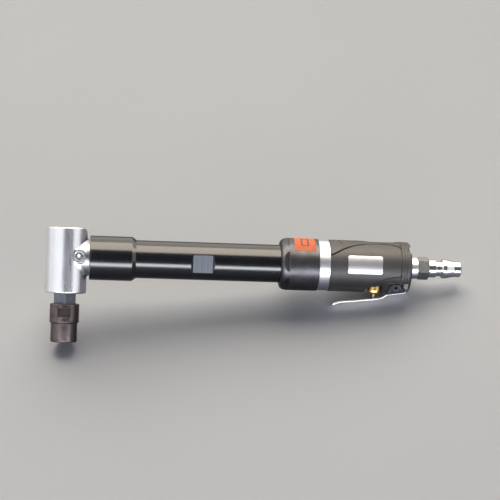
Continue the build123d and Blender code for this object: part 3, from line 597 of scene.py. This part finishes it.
def dark_rubber():
    """The grip: satin moulded rubber, duller in its grooves, with painted shade darkening them.
    """
    finish = Finish("dark_rubber", 0.0, 0.42)
    cloud = finish.spread(finish.noise(even(90), 4.0), 0.3, 0.7)
    base = finish.blend(cloud, (0.040, 0.037, 0.036), (0.062, 0.058, 0.056))
    attribute = finish.nodes.new("ShaderNodeAttribute")
    attribute.attribute_name = GROOVE_SHADE_ATTRIBUTE
    groove_shade = attribute.outputs["Fac"]
    # painted shade: the colour turns near black the deeper a point lies in a line
    finish.colour(finish.blend(groove_shade, base, (0.012, 0.010, 0.010)))
    specular = finish.spread(groove_shade, 0.0, 1.0, 0.62, 0.1)
    finish.link(specular, finish.shader.inputs["Specular IOR Level"])
    grain = finish.noise(even(3200), 2.0)
    finish.roughness(finish.spread(grain, 0.25, 0.75, 0.38, 0.54))
    finish.bump(grain, 0.5, 0.03)
    return finish


def chromed_steel():
    """Bright chrome, with a duller plating on the hexagon, which stands out furthest."""
    finish = Finish("chromed_steel", 1.0, 0.20)
    finish.soft_edges(0.15)
    finish.bump(finish.noise((4000, 50, 50), 2.0), 0.35, 0.003)
    hexagon = finish.beyond(PLUG_SHOULDER_R)
    grain = finish.spread(finish.noise(even(700), 2.0), 0.3, 0.7)
    dull = finish.blend(grain, (0.24, 0.24, 0.245), (0.34, 0.34, 0.345))
    finish.colour(finish.blend(hexagon, (0.78, 0.79, 0.81), dull))
    finish.roughness(finish.spread(hexagon, 0.0, 1.0, 0.20, 0.42))
    return finish


def printed(name, first, second, scale, grain, relief, specular=0.5):
    """Printed film with a faintly uneven ink. relief is (strength, depth)."""
    finish = Finish(name, 0.0, 0.5, specular)
    cloud = finish.spread(finish.noise(even(scale)), 0.3, 0.7)
    finish.colour(finish.blend(cloud, first, second))
    finish.bump(finish.noise(even(grain)), *relief)
    return finish


MATERIALS = {
    finish.name: finish.material
    for finish in (
        polished_aluminium(),
        # painted shade: a darker copy of the head's aluminium for its neck and boss
        metal("neck_shade_aluminium", (0.42, 0.43, 0.455), (0.35, 0.36, 0.39), 0.32, even(900), 0.004,
              (even(900), 0.30, 0.37)),
        metal("turned_aluminium", (0.80, 0.81, 0.83), (0.73, 0.74, 0.77), 0.29, (3000, 60, 60),
              0.001, ((3500, 60, 60), 0.33, 0.37)),
        metal("brushed_plate", (0.84, 0.84, 0.86), (0.76, 0.76, 0.79), 0.29, (60, 1500, 1500),
              0.0001, ((60, 3500, 3500), 0.32, 0.36)),
        metal("hardened_steel", (0.16, 0.17, 0.20), (0.08, 0.09, 0.11), 0.30, (400, 400, 3000),
              0.01),
        metal("bright_steel", (0.86, 0.87, 0.89), (0.78, 0.79, 0.81), 0.31, (150, 3000, 3000),
              0.006),
        # the lever's steel, smoother so it mirrors the dark recess, with a darker colour that is
        # painted shade
        metal("mirror_steel", (0.62, 0.63, 0.66), (0.54, 0.55, 0.58), 0.14, (150, 3000, 3000),
              0.002),
        metal("bearing_steel", (0.74, 0.75, 0.77), (0.66, 0.67, 0.70), 0.12, even(900), 0.004),
        metal("washer_zinc", (0.62, 0.63, 0.64), (0.54, 0.55, 0.56), 0.35, even(900), 0.004),
        metal("grey_steel", (0.48, 0.49, 0.51), (0.38, 0.39, 0.41), 0.32, even(900), 0.01),
        metal("dark_aluminium", (0.075, 0.075, 0.08), (0.05, 0.05, 0.055), 0.34, even(900), 0.01),
        metal("brass", (0.74, 0.50, 0.20), (0.60, 0.38, 0.14), 0.34, (60, 60, 4200), 0.006),
        chromed_steel(),
        phosphated_steel(),
        pocket_shade_steel(),
        black_anodised(),
        milled_black(),
        black_steel(),
        dark_rubber(),
        printed("orange_label", (0.78, 0.16, 0.050), (0.88, 0.22, 0.075), 300, 1500,
                (0.25, 0.01), 0.3),
        printed("dark_print", (0.10, 0.045, 0.04), (0.16, 0.07, 0.06), 900, 900, (0.2, 0.005)),
        plain_soft("vane_composite", (0.30, 0.19, 0.11), (0.22, 0.13, 0.08), 0.6, 1600, 0.02),
        plain_soft("seal_rubber", even(0.035), even(0.02), 0.55, 1800, 0.02),
        plain_soft("felt", (0.50, 0.48, 0.45), (0.36, 0.34, 0.32), 0.95, 1400, 0.15),
        plain_soft("black_plastic", (0.05, 0.05, 0.052), (0.035, 0.035, 0.037), 0.42, 2400, 0.02),
    )
}

# CAD nodes whose look differs from the rest of their slot.
OWN_LOOK = {
    "silver_band": "turned_aluminium",
    "inlet_bushing": "turned_aluminium",
    "lever_pin": "hardened_steel",
}


def dress_cad_nodes():
    """Give every CAD node the material of its slot, or its own."""
    for entry in frame["record"]["subparts"]:
        mesh = NODES[entry["node"]].data
        material = MATERIALS[OWN_LOOK.get(entry["node"], entry["material_slot"])]
        if not mesh.materials:
            mesh.materials.append(material)
        for index in range(len(mesh.materials)):
            mesh.materials[index] = material


# ---- angle head ---------------------------------------------------------------------------

POST_SHIFT = 0.3            # the visual post sits this far back, and is this much slimmer
POST_EDGE = 1.1
SHOULDER_R = 4.5            # rounding of the post's top above the neck
NECK_R = 12.3
NECK_END = COUPLING_LOW[0] + 3.5
NECK_FILLET = 1.6
BOSS_R = 4.9
BOSS_FACE = FITTING_HIGH[1] - 2.6
BOSS_ROOT = -2.0
FITTING_SEAT_R = 2.8
MOUTH_R = 12.22
MOUTH_DEPTH = 3.0


def head_field(x, y, z):
    """The head: a post, the neck that leaves it, and the fitting's boss."""
    radial = np.hypot(x - POST_SHIFT, y)
    post = rounded_rod(radial, z, HEAD_R - POST_SHIFT, HEAD_LOW[2], HEAD_HIGH[2], POST_EDGE)
    corner_x, corner_z = HEAD_R - SHOULDER_R, HEAD_HIGH[2] - SHOULDER_R
    past_corner = np.hypot(np.maximum(x - corner_x, 0), np.maximum(z - corner_z, 0))
    post = soft_max(post, past_corner - SHOULDER_R, 0.8)
    neck = rounded_rod(np.hypot(y, z - BODY_Z), x, NECK_R, 0.0, NECK_END, 0.3)
    solid = soft_min(post, neck, NECK_FILLET)
    boss_x = (FITTING_LOW[0] + FITTING_HIGH[0]) / 2
    boss_z = (FITTING_LOW[2] + FITTING_HIGH[2]) / 2
    boss_radial = np.hypot(x - boss_x, z - boss_z)
    boss = rounded_rod(boss_radial, y, BOSS_R, BOSS_FACE, BOSS_ROOT, 0.45)
    solid = soft_min(solid, boss, 0.5)
    seat = rounded_rod(boss_radial, y, FITTING_SEAT_R, BOSS_FACE - 2, BOSS_FACE + 2.62, 0.1)
    solid = cut(solid, seat, 0.35)
    mouth_top = HEAD_LOW[2] + MOUTH_DEPTH
    mouth = rounded_rod(np.hypot(x, y), z, MOUTH_R, HEAD_LOW[2] - 4, mouth_top, 0.1)
    return cut(solid, mouth, 0.3)


def build_head():
    """The polished head, with painted shade darkening the aluminium of its neck and boss."""
    low = (-HEAD_R, -HEAD_R, HEAD_LOW[2])
    high = (NECK_END, HEAD_R, HEAD_HIGH[2])
    piece = field_mesh("angle_head_casting", head_field, low, high, 0.42)
    stand_for(piece, "angle_head", "housing", "polished_aluminium")
    past_post = HEAD_R + 0.5
    # painted shade: the neck and boss take the darkened aluminium
    repaint(piece, "neck_shade_aluminium", lambda p, n: math.hypot(p.x - POST_SHIFT, p.y) > past_post)


# ---- grip ---------------------------------------------------------------------------------

GRIP_BORE_R = 15.72
GRIP_REAR_ROUND = 2.7
NOTCH_R, NOTCH_HEIGHT = 2.2, 12.3
VALVE_POCKET_R = 4.9

# The lever's recess, as an outline in x and in height above the body's axis.
RECESS_FRONT, RECESS_REAR = GRIP_LOW[0] + 25.9, GRIP_HIGH[0] - 1.8
RECESS_TOP, RECESS_FOOT = -11.0, -19.0
RECESS_EDGE = smooth_path([
    (0.0, RECESS_FOOT), (0.1, -16.6), (1.2, -14.9), (8.2, -13.4), (12.2, -12.2),
    (15.5, RECESS_TOP),
])
RECESS_OUTLINE = [(RECESS_FRONT + dx, dz) for dx, dz in RECESS_EDGE]
RECESS_OUTLINE += [(RECESS_REAR, RECESS_TOP), (RECESS_REAR, RECESS_FOOT)]

# Moulded lines, as distance from the grip's front and degrees above the sideways direction.
GROOVE_LINE = [
    (-2.0, 21.5), (0.0, 23.5), (3.1, 28.5), (8.6, 40.4), (14.8, 51.0), (21.1, 58.6),
    (26.1, 62.7), (33.6, 64.5), (39.8, 63.3), (44.0, 60.0), (47.2, 55.5), (48.6, 51.0),
    (49.4, 46.0),
]
LOWER_LINE = smooth_path([
    (26.0, -52.0), (27.8, -47.5), (32.0, -36.5), (38.1, -27.3), (44.5, -21.6), (49.3, -19.0),
])
SIDE_END = 49.2                                     # where the side lines meet the rear rings
REAR_RINGS = ((SIDE_END, 0.45, 0.38), (51.2, 0.28, 0.3), (53.0, 0.28, 0.3))  # x, depth, width
TOP_NICKS = ((5.8, 8.4, 90, 57), (15.8, 19.3, 88, 69))  # start x, end x, start and end angle


def grip_relief(x, side_angle):
    """Depths of the fine lines and of the broad panels in the grip's skin."""
    line_x, line_angle = zip(*GROOVE_LINE)
    sample_x = np.linspace(0, 50, 101)
    sample_slope = np.gradient(np.interp(sample_x, line_x, line_angle), 0.5)
    slope = np.interp(x, sample_x, sample_slope * math.radians(GRIP_R))
    arc = np.radians(side_angle - np.interp(x, line_x, line_angle)) * GRIP_R
    above = arc / np.sqrt(1 + slope ** 2)
    lines = 0.8 * ridge(above, 0.42) * smooth_step(SIDE_END - x, 0.0, 0.6)
    saddle = smooth_step(x, 22, 30) * smooth_step(49 - x, 0, 5)
    panels = 0.65 * smooth_step(above, 0.2, 2.5) * saddle

    for place, depth, width in REAR_RINGS:
        reach = smooth_step(side_angle, -28, -22) if place == SIDE_END else 1.0
        lines = lines + depth * ridge(x - place, width) * reach

    below = np.radians(np.interp(x, *zip(*LOWER_LINE)) - side_angle) * GRIP_R
    in_reach = smooth_step(x, 28.5, 31.0) * smooth_step(SIDE_END - x, 0.0, 0.4)
    panels = panels + 0.9 * smooth_step(below, -0.3, 0.7) * in_reach

    for start_x, end_x, start_angle, end_angle in TOP_NICKS:
        t = np.clip((side_angle - start_angle) / (end_angle - start_angle), 0, 1)
        past_end = side_angle - np.clip(side_angle, end_angle, start_angle)
        nick = np.hypot(x - start_x - t * (end_x - start_x), np.radians(past_end) * GRIP_R)
        lines = lines + 0.6 * (1 - 0.5 * t) * ridge(nick, 0.5)
    return lines, panels


def side_angle_of(y, height):
    """Degrees above the sideways direction, the same on both sides of the grip."""
    return np.degrees(np.arctan2(height, np.abs(y)))


def grip_field(x, y, z):
    """The grip sleeve: a moulded tube with panel lines, a lever recess and a rear notch."""
    along = x - GRIP_LOW[0]
    height = z - BODY_Z
    radial = np.hypot(y, height)
    lines, panels = grip_relief(along, side_angle_of(y, height))
    length = GRIP_HIGH[0] - GRIP_LOW[0]
    ends = np.abs(along - length / 2) - length / 2
    solid = soft_max(radial - GRIP_R + lines + panels, ends, 0.9)
    round_radial = np.maximum(radial - (GRIP_R - GRIP_REAR_ROUND), 0)
    rear_round = np.hypot(np.maximum(along - 54.0, 0), round_radial) - GRIP_REAR_ROUND
    solid = soft_max(solid, rear_round, 0.3)
    solid = cut(solid, radial - GRIP_BORE_R, 0.25)
    solid = cut(solid, polygon_field(x, height, RECESS_OUTLINE), 1.2)
    notch = np.hypot(x - (GRIP_HIGH[0] - 0.2), height - NOTCH_HEIGHT) - NOTCH_R
    solid = cut(solid, notch, 0.8)
    pocket = np.hypot(x - VALVE_X, y) - VALVE_POCKET_R
    return cut(solid, np.maximum(pocket, height + 5), 0.5)


def build_grip():
    """The grip, which stores how deep each point is in a line so that the lines get painted
    shade.
    """
    piece = field_mesh("grip_moulding", grip_field, GRIP_LOW, GRIP_HIGH, 0.34)
    points = np.empty(3 * len(piece.data.vertices))
    piece.data.vertices.foreach_get("co", points)
    x, y, z = points.reshape(-1, 3).T / MM
    lines, _ = grip_relief(x - GRIP_LOW[0], side_angle_of(y, z - BODY_Z))
    groove_shade = piece.data.attributes.new(GROOVE_SHADE_ATTRIBUTE, "FLOAT", "POINT")
    groove_shade.data.foreach_set("value", np.clip(lines / 0.6, 0, 1).astype(np.float32))
    stand_for(piece, "grip_sleeve", "housing", "dark_rubber")


# ---- throttle lever -----------------------------------------------------------------------

LEVER_THICK = 1.4
TIP_NARROWING = 0.6
# The strip's middle line and the ears' outline, in x and z from the pivot.
LEVER_PATH = [
    (-43.3, -12.5), (-41.6, -11.6), (-38.5, -10.7), (-11.6, -7.78), (-8.8, -6.7),
    (-6.6, -5.0), (-4.8, -4.35), (5.4, -2.95), (6.2, -2.3), (6.4, 1.8),
]
EAR_OUTLINE = [
    (-6.5, -5.2), (-3.2, 0.9), (-1.9, 2.2), (1.9, 2.2), (3.4, -0.3), (6.8, -0.3),
    (6.8, -3.2), (5.0, -3.6),
]
EARS_FROM_X = 221.0


def lever_field(x, y, z):
    """The lever: a bent strip with two ears for the pivot."""
    px, pz = x - PIVOT[0], z - PIVOT[1]
    half_thick = LEVER_THICK / 2
    half = (LEVER_HIGH[1] - LEVER_LOW[1]) / 2
    narrow = half - TIP_NARROWING * smooth_step(-px, 36, 43.5) ** 2
    strip = path_distance(px, pz, LEVER_PATH) - half_thick
    strip = soft_max(strip, np.abs(y) - narrow, 0.5)
    sheet = np.abs(np.abs(y) - half + half_thick) - half_thick
    ears = soft_max(polygon_field(px, pz, EAR_OUTLINE), sheet, 0.3)
    pin = np.hypot(px, pz) - PIN_R - 0.05
    return cut(soft_min(strip, ears, 0.5), pin, 0.25)


def build_lever():
    """The bright lever. The ears' sides mirror the dark recess, and their darker colour is
    painted shade.
    """
    low, high = LEVER_LOW - 0.3, LEVER_HIGH + 0.3
    piece = field_mesh("throttle_lever_strip", lever_field, low, high, 0.27)
    stand_for(piece, "throttle_lever", "lever", "bright_steel")
    # partly painted shade: the ears' flat sides take the darker copy of the lever's steel
    repaint(piece, "mirror_steel", lambda p, n: p.x > EARS_FROM_X and abs(n.y) > 0.95)


# ---- coupling nut -------------------------------------------------------------------------

COUPLING_FRONT_BORE, COUPLING_BORE = 12.4, 13.02


def build_coupling_nut():
    """The ring between head and tube, with a chamfered rear end."""
    front, rear = COUPLING_LOW[0], COUPLING_HIGH[0]
    profile = [
        (front, COUPLING_FRONT_BORE),
        (front, COUPLING_R, 0.7),
        (rear - 2.6, COUPLING_R, 0.8),
        (rear - 0.3, 13.5, 0.3),
        (rear, 13.3, 0.1),
        (rear, COUPLING_BORE),
        (front + 4.1, COUPLING_BORE),
        (front + 4.1, COUPLING_FRONT_BORE),
    ]
    piece = turned("coupling_nut_body", profile)
    stand_for(piece, "coupling_nut", "housing", "black_anodised")


# ---- extension tube -----------------------------------------------------------------------

TUBE_X = (26.0, CAP_LOW[0] + 2.5)
TUBE_R, TUBE_BORE_R = 13.0, 11.0
FLATS_X = (86.3, 99.7)
FLATS_R = 11.5              # distance of the flats from the axis
FLATS_RAMP = 1.9            # length of the slope at each end
FLATS_TURN = -8.5           # degrees that the flats are turned from facing sideways
CUTTER_TOP, CUTTER_HALF = 13.4, 10.0


def flat_cutter(turn):
    """A bar with sloping ends that mills one flat, turned about the body's axis."""
    start, end = FLATS_X
    outline = [
        (start - FLATS_RAMP, CUTTER_TOP), (start, FLATS_R), (end, FLATS_R),
        (end + FLATS_RAMP, CUTTER_TOP),
    ]
    heights = (BODY_Z - CUTTER_HALF, BODY_Z + CUTTER_HALF)
    points = [(x, -r, height) for height in heights for x, r in outline]
    faces = [(3, 2, 1, 0), (4, 5, 6, 7)]
    faces += [(k, (k + 1) % 4, 4 + (k + 1) % 4, 4 + k) for k in range(4)]
    cutter = new_piece("cutter", points, faces)
    face_outwards(cutter)
    centre = Matrix.Translation((0, 0, BODY_Z * MM))
    rotation = Matrix.Rotation(math.radians(-turn), 4, "X")
    cutter.data.transform(centre @ rotation @ centre.inverted())
    return cutter


def build_extension_tube():
    """The long black tube with two milled spanner flats."""
    front, rear = TUBE_X
    profile = [(front, TUBE_BORE_R), (front, TUBE_R), (rear, TUBE_R), (rear, TUBE_BORE_R)]
    piece = turned("extension_tube_body", profile, segments=192)
    cutters = [flat_cutter(turn) for turn in (FLATS_TURN, FLATS_TURN + 180)]
    subtract(piece, cutters, bevel=0.18, sharp=12)
    stand_for(piece, "extension_tube", "housing", "black_anodised")
    start, end = FLATS_X
    turn = math.radians(FLATS_TURN)
    across = Vector((0, -math.cos(turn), math.sin(turn)))
    repaint(piece, "milled_black", lambda p, n: start < p.x < end and abs(n.dot(across)) > 0.999)


# ---- front cap ----------------------------------------------------------------------------

NOSE_LENGTH, NOSE_R = 5.2, 14.8
NOSE_RISE = 3.2
CAP_BORE_R = 16.0
CAP_LIP, CAP_LIP_LENGTH = 2.9, 3.0
SCALLOP_LENGTH = 5.4
SCALLOP_R, SCALLOP_SLOPE = 16.6, 0.2
SCALLOP_TURN = 7.0
SCALLOPS = 6


def cap_field(x, y, z):
    """The front cap: a ring with an elliptical nose and six shallow spanner flats."""
    radial = np.hypot(y, z - BODY_Z)
    along = x - CAP_LOW[0]
    nose = np.clip((NOSE_LENGTH - along) / NOSE_LENGTH, 0, 1)
    outer = NOSE_R + NOSE_RISE * np.sqrt(np.maximum(1 - nose ** 2, 0.0))
    skin = (radial - outer) * (1 - 0.45 * nose)
    solid = soft_max(skin, np.maximum(-along, x - CAP_HIGH[0]), 0.5)
    solid = cut(solid, radial - CAP_BORE_R + CAP_LIP * (along < CAP_LIP_LENGTH), 0.2)
    pitch = 2 * math.pi / SCALLOPS
    angle = np.arctan2(z - BODY_Z, -y) - math.radians(SCALLOP_TURN)
    nearest = (angle + pitch / 2) % pitch - pitch / 2
    from_end = SCALLOP_LENGTH - along
    flat = SCALLOP_R + SCALLOP_SLOPE * from_end - radial * np.cos(nearest)
    return cut(solid, np.maximum(flat, -from_end), 0.25)


def build_front_cap():
    """The black cap that clamps the tube to the motor."""
    piece = field_mesh("front_cap_body", cap_field, CAP_LOW, CAP_HIGH, 0.36)
    stand_for(piece, "front_cap", "housing", "black_steel")


# ---- collet nut ---------------------------------------------------------------------------

NUT_STEP = 13.3             # height of the step between its two diameters
NUT_LOWER_R, NUT_UPPER_R = 9.0, 10.0
NUT_MOUTH_R, NUT_BORE_R = 5.1, 7.05
POCKET_Z = (17.5, 23.5)
POCKET_HALF = 4.1
POCKET_R = 8.3              # distance of the pocket's floor from the axis
POCKET_OUT = 12.3


def build_collet_nut():
    """The stepped nut, with a spanner pocket in front and behind."""
    profile = [
        (0.0, NUT_MOUTH_R, 0.4),
        (0.0, NUT_LOWER_R, 0.9),
        (NUT_STEP - 0.5, NUT_LOWER_R, 0.3),
        (NUT_STEP + 0.3, 9.9, 0.3),
        (NUT_STEP + 0.6, NUT_UPPER_R, 0.2),
        (NUT_TOP, NUT_UPPER_R, 0.6),
        (NUT_TOP, NUT_BORE_R, 0.2),
        (8.2, NUT_BORE_R),
        (4.6, 6.35),
        (2.3, NUT_MOUTH_R),
    ]
    piece = turned("collet_nut_body", profile, on_spindle=True)
    bottom, ceiling = POCKET_Z
    cutters = [
        block((-POCKET_HALF, y0, bottom), (POCKET_HALF, y1, ceiling))
        for y0, y1 in ((-POCKET_OUT, -POCKET_R), (POCKET_R, POCKET_OUT))
    ]
    subtract(piece, cutters, bevel=0.15)
    stand_for(piece, "collet_nut", "nut", "phosphated_steel")

    def in_pocket(p, n):
        across = abs(p.x) < POCKET_HALF + 0.1
        return across and bottom < p.z < ceiling and POCKET_R - 0.3 < abs(p.y) < 9.9

    # painted shade: the pockets' faces take the darkened steel
    repaint(piece, "pocket_shade_steel", in_pocket)


# ---- label --------------------------------------------------------------------------------

LABEL_X, LABEL_ANGLES = (155.4, 169.6), (33.0, 128.0)
LABEL_LIFT, LABEL_THICK = 0.02, 0.12
FRAME_X = (159.6, 165.2)
FRAME_ANGLES = (46.0, 77.0)
BAR_WIDTH, BAR_ANGLE = 1.2, 3.0
BAR_LIFT, BAR_THICK = 0.13, 0.05


def curved_patch(name, x_range, angle_range, radius, thickness, columns=12, rows=24):
    """A thin rectangle that hugs the body. Angles are degrees above the -Y direction."""
    points, faces = [], []
    for layer in (radius, radius + thickness):
        for degrees in np.linspace(*angle_range, rows + 1):
            angle = math.radians(degrees)
            for x in np.linspace(*x_range, columns + 1):
                y, height = -layer * math.cos(angle), layer * math.sin(angle)
                points.append((x, y, BODY_Z + height))
    width = columns + 1
    base = (rows + 1) * width
    for row in range(rows):
        for column in range(columns):
            a = row * width + column
            faces.append((a, a + 1, a + 1 + width, a + width))
            faces.append((base + a + width, base + a + width + 1, base + a + 1, base + a))
    border = list(range(columns))
    border += [row * width + columns for row in range(rows)]
    border += [rows * width + columns - column for column in range(columns)]
    border += [(rows - row) * width for row in range(rows)]
    for a, b in zip(border, border[1:] + border[:1]):
        faces.append((b, a, base + a, base + b))
    piece = new_piece(name, points, faces, sharp=40)
    face_outwards(piece)
    return piece


def build_label():
    """An orange film with a plain framed mark in place of lettering."""
    film = curved_patch("cap_label_film", LABEL_X, LABEL_ANGLES, CAP_R + LABEL_LIFT, LABEL_THICK)
    stand_for(film, "cap_label", "housing", "orange_label")
    (x0, x1), (a0, a1) = FRAME_X, FRAME_ANGLES
    bars = (
        ((x0, x1), (a0, a0 + BAR_ANGLE)),
        ((x0, x1), (a1 - BAR_ANGLE, a1)),
        ((x0, x0 + BAR_WIDTH), (a0 + BAR_ANGLE, a1 - BAR_ANGLE)),
        ((x1 - BAR_WIDTH, x1), (a0 + BAR_ANGLE, a1 - BAR_ANGLE)),
    )
    for index, (xs, angles) in enumerate(bars):
        bar = curved_patch(f"label_frame_{index}", xs, angles, CAP_R + BAR_LIFT, BAR_THICK, 4, 6)
        bar.data.materials.append(MATERIALS["dark_print"])
        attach(bar, "housing")


# ---- stage --------------------------------------------------------------------------------

FLOOR_NORMAL = Vector((-0.132, -0.65, 0.748)).normalized()
FLOOR_OFFSET = -0.0060      # metres along the normal from the collet's mouth
FLOOR_MIDDLE, FLOOR_HALF = 0.12, 3.0
MIRRORED_FLOOR_X = (-0.06, -0.01)  # reflections show a painted shadow on the floor to the right of this


def stage_material():
    """Pale matte floor, with a painted shadow that only reflections show. From below it is clear,
    so it hides nothing.
    """
    finish = Finish("pale_floor", 0.0, 0.8, specular=0.2)
    cloud = finish.spread(finish.noise(even(3), 2.0), 0.3, 0.7)
    base = finish.blend(cloud, (0.56, 0.55, 0.535), (0.585, 0.57, 0.555))
    ray = finish.nodes.new("ShaderNodeLightPath")
    geometry = finish.nodes.new("ShaderNodeNewGeometry")
    place = finish.nodes.new("ShaderNodeSeparateXYZ")
    finish.link(geometry.outputs["Position"], place.inputs["Vector"])
    mirrored = finish.nodes.new("ShaderNodeMath")
    mirrored.operation = "MULTIPLY"
    finish.link(ray.outputs["Is Glossy Ray"], mirrored.inputs[0])
    finish.link(finish.spread(place.outputs["X"], *MIRRORED_FLOOR_X), mirrored.inputs[1])
    # painted shadow: glossy rays see the floor's colour darkened right of MIRRORED_FLOOR_X
    finish.colour(finish.blend(mirrored.outputs["Value"], base, (0.17, 0.17, 0.20)))
    clear = finish.nodes.new("ShaderNodeBsdfTransparent")
    mix = finish.nodes.new("ShaderNodeMixShader")
    finish.link(geometry.outputs["Backfacing"], mix.inputs["Fac"])
    finish.link(finish.shader.outputs["BSDF"], mix.inputs[1])
    finish.link(clear.outputs["BSDF"], mix.inputs[2])
    finish.link(mix.outputs["Shader"], finish.nodes["Material Output"].inputs["Surface"])
    return finish.material


def build_stage():
    """A sloping floor that the collet nut's edge touches. It faces the camera and the key."""
    across = FLOOR_NORMAL.cross(Vector((1, 0, 0))).normalized()
    along = across.cross(FLOOR_NORMAL)
    centre = FLOOR_NORMAL * FLOOR_OFFSET + along * FLOOR_MIDDLE
    ends = ((-1, -1), (1, -1), (1, 1), (-1, 1))
    corners = [centre + (along * a + across * b) * FLOOR_HALF for a, b in ends]
    points = np.array([tuple(corner) for corner in corners]) / MM
    floor = new_piece("floor", points, [(0, 1, 2, 3)])
    if floor.data.polygons[0].normal.dot(FLOOR_NORMAL) < 0:
        floor.data.flip_normals()
    floor.data.materials.append(stage_material())


# ---- lights -------------------------------------------------------------------------------

TARGET = Vector((0.1257, 0.0, BODY_Z * MM + 0.0088))  # the picture's middle, on the tool
KEY_TOWARD = Vector((-0.10, 0.03, 1.0)).normalized()
LOW_TOWARD = Vector((0, -0.84, -0.545))
DOWN, INTO_PICTURE = Vector((0, 0, -1)), Vector((0, 1, 0))
WARM, NEUTRAL = (1.0, 0.91, 0.79), (0.99, 0.99, 1.0)
SKY, SKY_STRENGTH = (0.64, 0.78, 1.0, 1.0), 0.085

# Each light: name, place, aim, size, radiance, colour. Lengths are metres.
MATTE_LIGHTS = (
    ("key", TARGET + KEY_TOWARD * 8, -KEY_TOWARD, (8.4, 8.4), 3.78, (1.0, 0.978, 0.935)),
    ("front_fill", TARGET - INTO_PICTURE * 5, INTO_PICTURE, (6, 6), 0.45, (0.80, 0.87, 1.10)),
)
GLOSS_CARDS = (
    ("top_front_card", (0.13, -0.34, 0.78), DOWN, (2.6, 0.74), 5.4, (1.0, 0.89, 0.74)),
    ("top_rear_card", (0.13, 0.32, 0.78), DOWN, (2.6, 0.56), 1.7, WARM),
    ("back_card", (0.13, 0.78, 0.78), DOWN, (2.6, 0.36), 1.2, WARM),
    ("low_strip", TARGET + LOW_TOWARD * 1.15, -LOW_TOWARD, (2.4, 0.33), 9.5, (0.93, 0.95, 1.0)),
    ("left_front_card", (-0.71, -0.98, 0.15), (0.818, 0.576, 0), (1.0, 2.3), 0.92, NEUTRAL),
    ("left_rear_card", (-0.94, -0.05, 0.15), (1, 0, 0), (1.05, 2.3), 0.86, NEUTRAL),
    ("right_card", (1.20, -0.80, 0.15), (-1, 0, 0), (1.2, 1.6), 0.95, (1.0, 1.0, 1.0)),
)


def panel(name, place, aim, size, radiance, colour, for_matte):
    """A rectangular light that only matte surfaces receive, or only reflections show."""
    data = bpy.data.lights.new(name, "AREA")
    data.shape = "RECTANGLE"
    data.size, data.size_y = size
    data.energy = radiance * math.pi * size[0] * size[1]
    data.color = colour
    light = bpy.data.objects.new(name, data)
    light.location = place
    light.rotation_euler = Vector(aim).to_track_quat("-Z", "Y").to_euler()
    light.visible_diffuse = for_matte
    light.visible_glossy = not for_matte
    bpy.context.scene.collection.objects.link(light)


def build_lights():
    """A key and a fill for the floor and shadow, and cards that the metal and tube mirror."""
    for light in MATTE_LIGHTS:
        panel(*light, for_matte=True)
    for card in GLOSS_CARDS:
        panel(*card, for_matte=False)
    world = bpy.data.worlds.new("studio")
    world.use_nodes = True
    background = world.node_tree.nodes["Background"]
    background.inputs["Color"].default_value = SKY
    background.inputs["Strength"].default_value = SKY_STRENGTH
    bpy.context.scene.world = world
    bpy.context.scene.view_settings.view_transform = "Standard"


# ---- camera -------------------------------------------------------------------------------

CAMERA_AZIMUTH, CAMERA_ELEVATION, CAMERA_ROLL = -5.0, 1.0, 1.96
CAMERA_DISTANCE = 1.021
CAMERA_LENS = 106.6


def build_camera():
    """The camera looks level at the tool's side from slightly towards its head."""
    data = bpy.data.cameras.new("camera")
    data.sensor_width = 36.0
    data.lens = CAMERA_LENS
    a, e = math.radians(CAMERA_AZIMUTH), math.radians(CAMERA_ELEVATION)
    back = Vector((math.sin(a) * math.cos(e), -math.cos(a) * math.cos(e), math.sin(e)))
    camera = bpy.data.objects.new("camera", data)
    turn = back.to_track_quat("Z", "Y").to_matrix().to_4x4()
    roll = Matrix.Rotation(math.radians(CAMERA_ROLL), 4, "Z")
    camera.matrix_world = Matrix.Translation(TARGET + back * CAMERA_DISTANCE) @ turn @ roll
    bpy.context.scene.collection.objects.link(camera)
    bpy.context.scene.camera = camera


# ---- assembly -----------------------------------------------------------------------------

dress_cad_nodes()
build_head()
build_grip()
build_lever()
build_coupling_nut()
build_extension_tube()
build_front_cap()
build_collet_nut()
build_label()
build_stage()
build_lights()
build_camera()
